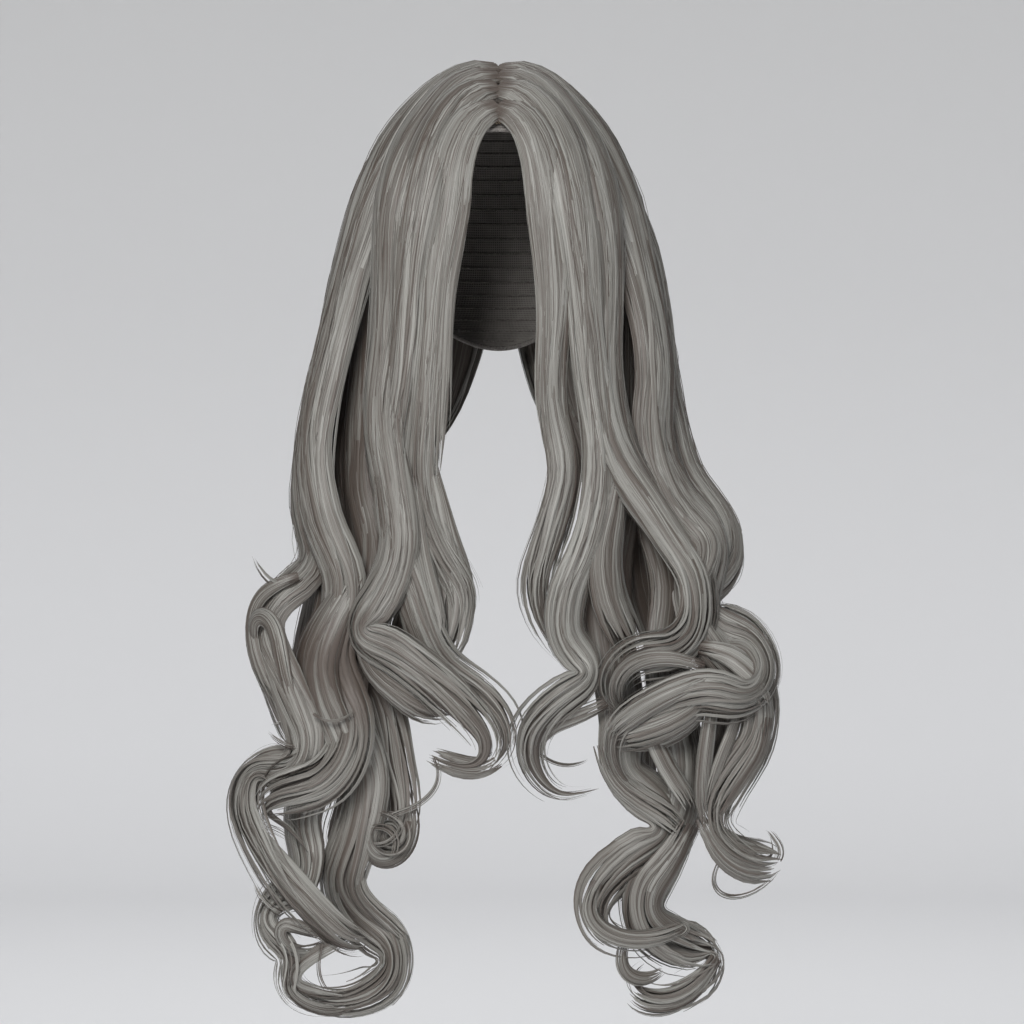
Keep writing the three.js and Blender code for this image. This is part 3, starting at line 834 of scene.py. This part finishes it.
# loose curls and stray ends that lie on the locks: width at the start, full and at the tip,
# thickness and folds
looseRight = [
    ((10, 13, 3), 7, [(-62, -92, -478), (-57, -96, -504), (-65, -102, -523), (-80, -106, -526),
        (-87, -106, -514), (-82, -102, -501), (-69, -98, -495), (-60, -94, -503)]),
    ((5, 10, 4), 6, [(-58, -96, -498), (-61, -100, -512), (-70, -103, -519), (-79, -103, -514),
        (-79, -102, -505), (-71, -100, -501), (-64, -99, -507), (-67, -99, -514)]),
    ((3, 5, 2), 4, [(-84, -106, -494), (-70, -108, -495), (-61, -108, -503), (-63, -108, -515),
        (-74, -108, -519), (-80, -108, -511), (-75, -108, -503)]),
    ((2, 3, 1), 2, [(-62, -110, -497), (-56, -110, -507), (-60, -110, -519), (-71, -110, -524),
        (-82, -110, -519), (-86, -110, -508), (-80, -110, -499), (-71, -110, -499)]),
    ((8, 11, 3), 6, [(-87, -98, -527), (-94, -102, -541), (-83, -104, -557), (-67, -102, -571),
        (-57, -98, -583)]),
    ((6, 9, 2), 5, [(-132, -104, -600), (-141, -108, -607), (-133, -110, -617), (-120, -110, -624),
        (-103, -106, -626), (-93, -102, -622), (-91, -100, -616)]),
    ((6, 11, 3), 5, [(-96, -100, -577), (-107, -103, -581), (-118, -108, -586), (-131, -112, -595),
        (-138, -112, -605), (-129, -110, -611), (-112, -108, -615), (-94, -104, -617)]),
    ((6, 10, 3), 5, [(-106, -100, -578), (-118, -103, -574), (-132, -108, -570),
        (-142, -112, -565), (-147, -114, -572), (-141, -112, -582), (-129, -108, -589),
        (-114, -104, -583), (-104, -100, -577)]),
    ((14, 24, 11), 8, [(-162, -104, -500), (-151, -109, -522), (-138, -113, -539),
        (-126, -115, -552), (-115, -115, -564), (-104, -112, -574), (-93, -107, -581),
        (-85, -101, -579)]),
    ((3, 6, 2), 3, [(-91, -104, -509), (-82, -110, -502), (-71, -112, -503), (-65, -112, -512),
        (-68, -110, -523), (-76, -106, -530)]),
    ((3, 5, 1), 3, [(-90, -105, -513), (-81, -110, -517), (-71, -113, -515), (-64, -112, -507),
        (-60, -106, -496)]),
    ((4, 5, 2), 3, [(-115, -110, -578), (-119, -112, -597), (-115, -112, -610),
        (-108, -110, -615)]),
    ((4, 5, 1), 3, [(-140, -110, -562), (-152, -112, -557), (-158, -108, -549),
        (-163, -104, -537)]),
    ((3, 4, 1), 3, [(-128, -108, -452), (-139, -106, -451), (-147, -104, -447),
        (-155, -102, -438)]),
    ((3, 3, 1), 2, [(-136, -104, -429), (-144, -104, -436), (-154, -102, -438)]),
    ((3, 4, 1), 3, [(-44, -104, -455), (-37, -106, -468), (-43, -106, -482), (-57, -104, -492),
        (-75, -106, -497), (-87, -108, -505)]),
    ((14, 17, 9), 6, [(2, -112, -457), (-9, -106, -466), (-28, -102, -464), (-49, -100, -455)]),
    ((6, 13, 6), 7, [(-158, -98, -386), (-163, -102, -373), (-160, -105, -362), (-152, -108, -363),
        (-146, -110, -376), (-143, -112, -394), (-138, -112, -415), (-128, -110, -435)]),
    ((6, 12, 5), 7, [(-130, -88, -337), (-146, -90, -342), (-159, -92, -351), (-164, -96, -370),
        (-161, -102, -390), (-154, -104, -408), (-143, -104, -426)]),
    ((5, 6, 1), 4, [(-128, -84, -338), (-142, -90, -347), (-155, -92, -339), (-165, -90, -321)]),
    ((2, 3, 1), 2, [(-124, -122, -426), (-114, -126, -434), (-103, -126, -434),
        (-91, -122, -423)]),
    ((16, 28, 12), 7, [(-47, -98, -262), (-36, -102, -313), (-27, -106, -352), (-31, -106, -381),
        (-39, -104, -398)]),
    ((16, 28, 12), 8, [(-60, -98, -268), (-55, -104, -326), (-48, -110, -366), (-44, -112, -392)]),
    ((18, 34, 20), 8, [(-92, -98, -335), (-112, -106, -368), (-122, -112, -395),
        (-117, -114, -424), (-106, -112, -452), (-108, -108, -478)]),
]

looseLeft = [
    ((8, 11, 5), 6, [(138, -118, -398), (114, -128, -391), (91, -130, -393), (79, -126, -403),
        (76, -122, -416), (83, -118, -427)]),
    ((10, 14, 6), 7, [(142, -118, -404), (117, -128, -414), (97, -128, -424), (81, -124, -435),
        (69, -116, -447)]),
    ((9, 18, 7), 7, [(143, -114, -409), (129, -122, -425), (110, -124, -436), (91, -120, -443),
        (72, -114, -448)]),
    ((12, 14, 5), 7, [(136, -120, -412), (158, -118, -415), (171, -112, -418), (180, -106, -424)]),
    ((10, 18, 7), 8, [(130, -112, -384), (151, -116, -388), (165, -116, -399), (176, -112, -413),
        (179, -106, -426)]),
    ((16, 20, 8), 8, [(68, -102, -446), (76, -104, -470), (95, -106, -486), (113, -106, -497),
        (124, -102, -511)]),
    ((10, 15, 8), 7, [(95, -104, -421), (101, -110, -440), (113, -112, -467), (125, -110, -484),
        (130, -106, -500)]),
    ((10, 13, 7), 6, [(143, -102, -410), (140, -109, -434), (136, -112, -463), (135, -110, -483),
        (137, -108, -498), (144, -106, -512)]),
    ((8, 11, 6), 6, [(163, -98, -413), (156, -104, -438), (146, -108, -463), (140, -108, -483),
        (138, -106, -498)]),
    ((14, 18, 7), 7, [(177, -100, -428), (174, -102, -452), (161, -104, -472), (148, -106, -491),
        (141, -106, -504)]),
    ((14, 28, 6), 7, [(134, -108, -494), (145, -110, -512), (160, -110, -524), (178, -106, -527),
        (192, -102, -526)]),
    ((5, 6, 1), 4, [(184, -104, -528), (191, -106, -520), (184, -106, -512), (175, -104, -501)]),
    ((3, 4, 1), 3, [(149, -110, -522), (141, -112, -535), (142, -112, -546), (153, -110, -551),
        (169, -108, -547), (183, -106, -537), (188, -104, -530)]),
    ((18, 32, 9), 8, [(128, -98, -499), (113, -102, -528), (99, -106, -547), (99, -108, -564),
        (114, -108, -577), (135, -104, -586), (148, -100, -589)]),
    ((3, 3, 1), 2, [(113, -110, -579), (128, -110, -574), (130, -110, -568), (122, -110, -565),
        (116, -110, -567)]),
    ((10, 13, 5), 6, [(68, -102, -538), (59, -105, -553), (61, -109, -566), (71, -112, -574),
        (87, -115, -579), (106, -115, -577), (120, -113, -572), (128, -110, -566)]),
    ((8, 11, 4), 6, [(84, -104, -580), (80, -106, -594), (85, -108, -603), (98, -106, -606),
        (113, -102, -597)]),
    ((10, 17, 8), 7, [(146, -98, -588), (136, -102, -605), (121, -104, -617), (105, -104, -621),
        (90, -102, -617), (85, -100, -610)]),
    ((2, 2, 1), 2, [(124, -106, -572), (141, -104, -577), (148, -100, -586)]),
    ((10, 13, 6), 7, [(74, -112, -419), (53, -116, -429), (34, -112, -435), (22, -108, -448),
        (20, -104, -463)]),
    ((3, 3, 1), 2, [(24, -106, -452), (30, -104, -459), (42, -102, -464), (56, -100, -463),
        (63, -98, -457)]),
    ((2, 3, 1), 2, [(170, -104, -455), (156, -106, -479), (145, -106, -498)]),
    ((8, 26, 12), 8, [(80, -96, -262), (76, -100, -293), (70, -104, -323), (74, -108, -355),
        (84, -108, -376), (94, -104, -396)]),
]
looseForm = {"fineWidth": 8, "rootWidth": 0.06}

# back locks: root (y), behind the cap (x, y), low at the back, on the way forward, and then
# the hanging waves
backRows = [
    {"rootY": 20, "head": (-96, 24), "nape": (-96, 12, -225), "over": (-91, -20, -298),
     "hang": -100, "depth": -44, "swing": 7, "tip": -530},
    {"rootY": 38, "head": (-71, 76), "nape": (-79, 58, -218), "over": (-81, 6, -288),
     "hang": -82, "depth": -31, "swing": -7, "tip": -475},
    {"rootY": 57, "head": (-26, 106), "nape": (-40, 88, -208), "over": (-68, 38, -274),
     "hang": -64, "depth": -43, "swing": 6, "tip": -420},
    {"rootY": 57, "head": (27, 106), "nape": (41, 88, -209), "over": (69, 38, -275),
     "hang": 64, "depth": -44, "swing": -6, "tip": -430},
    {"rootY": 39, "head": (71, 76), "nape": (79, 58, -219), "over": (82, 6, -289),
     "hang": 83, "depth": -31, "swing": 7, "tip": -485},
    {"rootY": 20, "head": (94, 24), "nape": (96, 12, -226), "over": (92, -20, -299),
     "hang": 102, "depth": -45, "swing": -7, "tip": -540},
]
backWaves = {"rootSide": 3, "middle": -92, "start": -345, "step": 58, "spread": 3,
             "width": (22, 58, 27, 5), "thick": 12}

# short hair along the front edge of the cap
hairline = {"roots": (-66, -69, -72), "side": 2, "width": (8, 13, 12, 4), "thick": 5}
hairlineFolds = {
    -1: [(-27, -99, -86), (-35, -101, -150), (-38, -101, -215), (-41, -100, -280)],
    1: [(27, -99, -86), (32, -101, -150), (31, -99, -215), (36, -99, -268)],
}


def locksFrom(rows):
    return [lockFrom(*row) for row in rows]


def backLock(row):
    side = 1 if row["hang"] > 0 else -1
    folds = [(*row["head"], backWaves["middle"]), row["nape"], row["over"]]
    place, swing = row["hang"], row["swing"]
    for level in range(backWaves["start"], row["tip"], -backWaves["step"]):
        folds.append((place + swing, row["depth"], level))
        place += backWaves["spread"] * side
        swing = -swing
    folds.append((place, row["depth"], row["tip"]))
    root = (backWaves["rootSide"] * side, row["rootY"])
    return lockFrom(root, backWaves["width"], backWaves["thick"], folds)


# curls on the locks, the full ones or the fine ones
def looseCurls(rows, fine):
    return [lockFrom(None, (start, start, full, tip), thick, folds)
            for (start, full, tip), thick, folds in rows
            if (full < looseForm["fineWidth"]) == fine]


def hairlineLocks(side):
    return [lockFrom((hairline["side"] * side, depth), hairline["width"], hairline["thick"],
                     hairlineFolds[side]) for depth in hairline["roots"]]


curtainHair = {"sweep": 0.6, "wisps": 40, "width": 0.128, "strands": 2}
sideHair = {"wisps": 34, "width": 0.148, "strands": 1}
edgeHair = {"sweep": 0.6, "wisps": 14, "strands": 1}
looseHair = {"wisps": 18, "strands": 2, "rootWidth": looseForm["rootWidth"]}
fineHair = {"wisps": 5, "strands": 3, "rootWidth": looseForm["rootWidth"]}
hairSets = {
    "rightCurtain": {"node": "right_curtain", "locks": locksFrom(rightCurtain), "seed": 11,
                     **curtainHair},
    "leftCurtain": {"node": "left_curtain", "locks": locksFrom(leftCurtain), "seed": 23,
                    **curtainHair},
    "rightSideWeft": {"node": "right_side_weft", "locks": locksFrom(rightSide), "seed": 37,
                      **sideHair},
    "leftSideWeft": {"node": "left_side_weft", "locks": locksFrom(leftSide), "seed": 41,
                     **sideHair},
    "backHair": {"node": "back_hair", "locks": [backLock(row) for row in backRows], "seed": 59,
                 "wisps": 48, "width": 0.125, "strands": 1},
    "rightHairline": {"locks": hairlineLocks(-1), "seed": 67, **edgeHair},
    "leftHairline": {"locks": hairlineLocks(1), "seed": 71, **edgeHair},
    "rightLooseCurls": {"locks": looseCurls(looseRight, False), "seed": 83, **looseHair},
    "leftLooseCurls": {"locks": looseCurls(looseLeft, False), "seed": 97, **looseHair},
    "rightFineCurls": {"locks": looseCurls(looseRight, True), "seed": 103, **fineHair},
    "leftFineCurls": {"locks": looseCurls(looseLeft, True), "seed": 107, **fineHair},
}

# painted shade: how much darker the hair is drawn where other hair covers it
coveredShadeForm = {"rightSideWeft": 0.5, "leftSideWeft": 0.5, "backHair": 0.5,
             "fadeStart": -0.33, "fadeEnd": -0.42, "front": 0.01, "behind": 0.05}

# painted shade in the hollows between the curls, in mm: middle (x, z), reach, the depth (y) it
# starts at, and how much darker
hollowShades = [
    {"middle": (-104, -400), "reach": 52, "depth": -119, "shade": 1.5},
    {"middle": (80, -356), "reach": 40, "depth": -104, "shade": 1.0},
]
hollowShadeEdge = 8 * mm


# painted shade, taken off the tone: under covering hair and in the hollows
def paintedShade(name, points):
    below = eased((coveredShadeForm["fadeStart"] - points[:, 2])
                  / (coveredShadeForm["fadeStart"] - coveredShadeForm["fadeEnd"]))
    ahead = eased((coveredShadeForm["behind"] - points[:, 1])
                  / (coveredShadeForm["behind"] - coveredShadeForm["front"]))
    shade = coveredShadeForm.get(name, 0.0) * (1 - below) * ahead
    for hollow in hollowShades:
        away = np.linalg.norm(points[:, ::2] - np.array(hollow["middle"]) * mm, axis=1)
        inside = eased((points[:, 1] - hollow["depth"] * mm) / hollowShadeEdge)
        shade = shade + hollow["shade"] * (1 - eased(away / (hollow["reach"] * mm))) * inside
    return shade


# single hairs that have come loose
flyaways = {"Wisps": 7, "Strands": 1, "Strand Width": 0.00035, "Stray": 0.026}

paths = wispPathsTree()
wispBodies = wispBodiesTree(paths)
wispStrands = wispStrandsTree(paths)
for name, hair in hairSets.items():
    guides = [lockGuide(lock, hair.get("sweep", 0.0)) for lock in hair["locks"]]
    for guide in guides:
        # painted shade of covered hair and of the hollows, kept as the under value
        guide["under"] = paintedShade(name, guide["point"])
    lines = guideMesh(name + "Lines", guides)
    sizes = {"Wisps": hair["wisps"], "Seed": hair["seed"], "Material": hairFibre,
             "Wisp Width": hair.get("width", wispSizes["Wisp Width"]),
             "Root Width": hair.get("rootWidth", wispSizes["Root Width"])}
    made = [grow(name + "Wisps", lines, wispBodies, sizes),
            grow(name + "Strands", lines, wispStrands, {**sizes, "Strands": hair["strands"]})]
    if "Curtain" in name:
        made.append(grow(name + "Flyaways", lines, wispStrands, {**sizes, **flyaways}))
    if "node" in hair:
        if name != "backHair":
            thick = lockForm["partingThick" if "Curtain" in name else "trackThick"]
            guides = guides + [lockGuide(trackFor(hair["locks"], thick))]
        # the cores take the darker hair colour, painted shade between the wisps
        made.append(corePiece(name + "Core", guides, hairShadedCore))
        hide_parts(hair["node"])
    for piece in made:
        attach(piece, "root")
        piece.data.calc_loop_triangles()
        print(piece.name, len(piece.data.loop_triangles), "triangles")

capForm = {
    "turns": 120, "steps": 36,
    "wall": 2.0,
    "firstRow": 13, "rowStep": 6,      # degrees from the crown, of the rows that hair is sewn in
    "rowEdge": 3,                      # degrees that the rows end short of the rim
    "rowRadius": 0.0008, "rowDepth": -0.4,
    "rimRadius": 0.0017,
    "sides": 8,
    "cell": 1.7,                       # mm, one mesh of the net
}

netLook = {
    "dark": (0.07, 0.065, 0.06), "light": (0.25, 0.236, 0.222), "stops": (0.2, 0.9),
    "thread": 0.65, "cloth": 0.4, "clothNoise": {"Scale": 0.08, "Detail": 3.0},
    "roughness": 0.88, "specular": 0.2, "bump": 0.5, "bumpDepth": 0.0005,
}

bindingLook = {
    "dark": (0.1, 0.092, 0.086), "light": (0.22, 0.207, 0.195), "stops": (0.3, 0.7),
    "weaveNoise": {"Scale": 900.0, "Detail": 2.0},
    "roughness": 0.8, "specular": 0.3, "bump": 0.4, "bumpDepth": 0.0004,
}

skinLook = {
    "dark": (0.3, 0.24, 0.185), "light": (0.43, 0.36, 0.285), "stops": (0.35, 0.65),
    "clothNoise": {"Scale": 260.0, "Detail": 4.0},
    "root": (0.07, 0.056, 0.048), "rootScale": 850.0, "rootEdge": (0.2, 0.42),
    "roughness": 0.75, "specular": 0.3, "bump": 0.3, "bumpDepth": 0.0003,
}


def rimAngle(turn):
    return headForm["rimFall"] - headForm["rimTilt"] * math.cos(turn)


# a place on the cap: angle round from the front, angle down from the crown, height over its
# inside
def capPoint(turn, down, height):
    spread, drop = math.sin(math.radians(down)), math.cos(math.radians(down))
    direction = np.array((spread * math.sin(turn), -spread * math.cos(turn), drop))
    return (direction * (headForm["half"] + height) + headMiddle()) * mm


# two domes, joined along the rim
def capShell(material):
    turns, steps = capForm["turns"], capForm["steps"]
    angles = [place / turns * math.tau for place in range(turns)]
    points, lay, faces = [], [], []
    for height in (capForm["wall"], 0.0):
        points.append(capPoint(0, 0, height))
        lay.append((0, 0, height))
        for step in range(1, steps + 1):
            for turn in angles:
                down = rimAngle(turn) * step / steps
                points.append(capPoint(turn, down, height))
                lay.append((turn * headForm["half"][1], math.radians(down) * headForm["half"][2],
                            height))
    shift = 1 + turns * steps
    rim = shift - turns
    for place in range(turns):
        after = (place + 1) % turns
        faces.append((0, 1 + place, 1 + after))
        faces.append((shift, shift + 1 + after, shift + 1 + place))
        for first in range(1, rim, turns):
            quad = (first + place, first + turns + place, first + turns + after, first + after)
            faces.append(quad)
            faces.append(tuple(shift + corner for corner in reversed(quad)))
        faces.append((rim + place, shift + rim + place, shift + rim + after, rim + after))
    piece = facePiece("capNet", points, faces, material)
    storeLayer(piece.data, "lay", lay)
    return piece


# lines round the cap: rows that the hair is sewn in, or the rim alone
def capLines(name, downs, height):
    points, edges = [], []
    turns = capForm["turns"]
    for down in downs:
        first = len(points)
        for place in range(turns):
            turn = place / turns * math.tau
            end = rimAngle(turn)
            if down is None or down < end - capForm["rowEdge"]:
                points.append(capPoint(turn, end if down is None else down, height))
        count = len(points) - first
        edges.extend((first + index, first + index + 1) for index in range(count - 1))
        if count == turns:
            edges.append((len(points) - 1, first))
    return newMesh(name, points, edges)


# round tubes along lines
def seamTubesTree():
    nodes, source, result = newTree("seamTubes", {"Radius": 0.001, "Sides": 8, "Material": None})
    curve = nodes.add("GeometryNodeMeshToCurve", {"Mesh": source["Geometry"]})
    ring = nodes.add("GeometryNodeCurvePrimitiveCircle",
                     {"Resolution": source["Sides"], "Radius": source["Radius"]})
    mesh = nodes.add("GeometryNodeCurveToMesh",
                     {"Curve": curve, "Profile Curve": ring, "Fill Caps": True})
    mesh = nodes.add("GeometryNodeSetShadeSmooth", {"Geometry": mesh})
    addMaterial(nodes, result, mesh, source["Material"])
    return nodes.tree


# knitted net: threads crossing, with open meshes between them
def netMaterial():
    material, nodes, shader = newMaterial("capNet", netLook)
    lay = nodes.add("ShaderNodeAttribute", output="Vector", attribute_name="lay")
    waves = [(axis * (math.tau / capForm["cell"])).math("SINE")
             for axis in nodes.add("ShaderNodeSeparateXYZ", {0: lay}, ("X", "Y"))]
    thread = waves[0].math("MAXIMUM", waves[1]).math("MULTIPLY_ADD", 0.5, 0.5)
    cloth = nodes.add("ShaderNodeTexNoise", {"Vector": lay, **netLook["clothNoise"]})
    shade = thread * netLook["thread"] + cloth * netLook["cloth"]
    addSurface(nodes, shader, netLook, lookRamp(nodes, shade, netLook), thread)
    return material


def bindingMaterial():
    material, nodes, shader = newMaterial("capBinding", bindingLook)
    place = nodes.add("ShaderNodeTexCoord", output="Object")
    weave = nodes.add("ShaderNodeTexNoise", {"Vector": place, **bindingLook["weaveNoise"]})
    addSurface(nodes, shader, bindingLook, lookRamp(nodes, weave, bindingLook), weave)
    return material


# skin-coloured strip with the dark dots of the roots
def partingMaterial():
    material, nodes, shader = newMaterial("partingSkin", skinLook)
    place = nodes.add("ShaderNodeTexCoord", output="Object")
    cloth = nodes.add("ShaderNodeTexNoise", {"Vector": place, **skinLook["clothNoise"]})
    skin = lookRamp(nodes, cloth, skinLook)
    dots = nodes.add("ShaderNodeTexVoronoi", {"Vector": place, "Scale": skinLook["rootScale"]},
                     "Distance")
    mask = nodes.ranged(dots, *skinLook["rootEdge"], 1.0, 0.0)
    colour = nodes.add("ShaderNodeMix", {0: mask, 6: skin, 7: (*skinLook["root"], 1)}, 2,
                       data_type="RGBA")
    addSurface(nodes, shader, skinLook, colour, cloth)
    return material


partingForm = {"half": 2.0, "front": -76, "back": 24, "steps": 60, "under": 2.3, "over": 3.5,
               "crown": 0.2}


def partingStrip(material):
    half, under, over = (partingForm[key] for key in ("half", "under", "over"))
    corners = ((-half, under), (-half, over), (0, over + partingForm["crown"]), (half, over),
               (half, under))
    points, steps = [], partingForm["steps"]
    for step in range(steps + 1):
        y = partingForm["front"] + (partingForm["back"] - partingForm["front"]) * step / steps
        for x, height in corners:
            place = rootDirection(0, y) * (headForm["half"] + height) + headMiddle()
            points.append((x * mm, place[1] * mm, place[2] * mm))
    return facePiece("partingStrip", points, tubeFaces(0, steps + 1, len(corners)), material)


binding = bindingMaterial()
seamTubes = seamTubesTree()
deepest = int(headForm["rimFall"] + headForm["rimTilt"])
rowDowns = range(capForm["firstRow"], deepest, capForm["rowStep"])
capNet = capShell(netMaterial())
capRows = grow("capRows", capLines("capRowLines", rowDowns, capForm["rowDepth"]), seamTubes,
               {"Radius": capForm["rowRadius"], "Sides": capForm["sides"], "Material": binding})
capRim = grow("capRim", capLines("capRimLine", [None], capForm["wall"] / 2), seamTubes,
              {"Radius": capForm["rimRadius"], "Sides": capForm["sides"], "Material": binding})
for piece in (capNet, capRows, capRim):
    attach(piece, "root")
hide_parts("cap")
parting = partingStrip(partingMaterial())
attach(parting, "root")
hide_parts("parting")
print("cap and parting made")

# camera at the photograph's angle
camera = newPiece("camera", bpy.data.cameras.new("camera"))
camera.data.lens = 157.2
camera.location = (0.0093, -3.07, -0.295)
camera.rotation_euler = (math.pi / 2, 0, 0)
camera.data.clip_end = 50
scene.camera = camera

studio = {
    "floor": -0.9, "radius": 5.0, "cove": 1.0, "wall": 4.0,
    "turns": 96, "coveSteps": 12,
    "roughness": 0.9, "specular": 0.1,
    "low": (-0.7, (0.72, 0.72, 0.73)),     # height and colour of the paper low down; higher up it is drawn darker, painted shade
    "high": (0.9, (0.5, 0.5, 0.5)),
    "world": (0.9, 0.93, 0.97), "worldStrength": 0.4,
}

lights = {
    "keyLight": {"place": (-0.7, -2.65, 1.0), "aim": (0, -0.08, -0.2), "size": (1.3, 1.0),
                 "power": 74, "colour": (1, 0.99, 0.97)},
    "fillLight": {"place": (1.7, -2.7, 0.2), "aim": (0, -0.08, -0.35), "size": (1.6, 1.2),
                  "power": 15, "colour": (0.98, 0.99, 1)},
    "topLight": {"place": (0, 0.5, 2.2), "aim": (0, -0.05, -0.1), "size": (1.6, 1.2),
                 "power": 10, "colour": (1, 1, 1)},
    "backLight": {"place": (0, 2.4, 1.3), "aim": (0, 0.1, -0.3), "size": (2.0, 1.0),
                  "power": 14, "colour": (1, 0.99, 0.98), "spread": 60, "glints": False},
    "wallLight": {"place": (0, 1.6, 2.4), "aim": (0, 5, -0.4), "size": (3.6, 0.8),
                  "power": 76, "colour": (1, 1, 1)},
}


# round pale room: a floor that turns up into a wall
def studioRoom():
    radius, cove, turns = studio["radius"], studio["cove"], studio["turns"]
    profile = [(0.0, 0.0), (radius - cove, 0.0)]
    for step in range(1, studio["coveSteps"] + 1):
        angle = step / studio["coveSteps"] * math.pi / 2
        profile.append((radius - cove * (1 - math.sin(angle)), cove * (1 - math.cos(angle))))
    profile.append((radius, studio["wall"]))
    points = []
    for out, up in profile:
        for turn in range(turns):
            angle = turn / turns * math.tau
            points.append((out * math.cos(angle), out * math.sin(angle), studio["floor"] + up))
    material, nodes, shader = newMaterial("studioPaper", studio)
    place = nodes.add("ShaderNodeTexCoord", output="Object")
    height = nodes.add("ShaderNodeSeparateXYZ", {0: place}, "Z")
    # painted shade: the paper is drawn darker higher up the wall
    (low, lowColour), (high, shadedHighColour) = studio["low"], studio["high"]
    share = nodes.ranged(height, low, high, kind="LINEAR")
    nodes.fill(shader["Base Color"], addRamp(nodes, share, ((0.0, lowColour), (1.0, shadedHighColour))))
    room = facePiece("studioRoom", points, ringFaces(0, len(profile), turns), material)


def softLight(name, place, aim, size, power, colour, spread=180, glints=True):
    light = bpy.data.lights.new(name, "AREA")
    light.shape = "RECTANGLE"
    light.size, light.size_y = size
    light.energy = power
    light.color = colour
    light.spread = math.radians(spread)
    lamp = newPiece(name, light)
    lamp.location = place
    direction = np.array(aim) - np.array(place)
    flat = math.hypot(direction[0], direction[1])
    lamp.rotation_euler = (math.atan2(flat, -direction[2]), 0,
                           math.atan2(direction[1], direction[0]) - math.pi / 2)
    lamp.visible_glossy = glints


studioRoom()
for name, light in lights.items():
    softLight(name, **light)
world = bpy.data.worlds.new("studioWorld")
scene.world = world
world.use_nodes = True
background = world.node_tree.nodes["Background"].inputs
background["Color"].default_value = (*studio["world"], 1)
background["Strength"].default_value = studio["worldStrength"]
scene.view_settings.view_transform = "Standard"
print("camera and studio set")
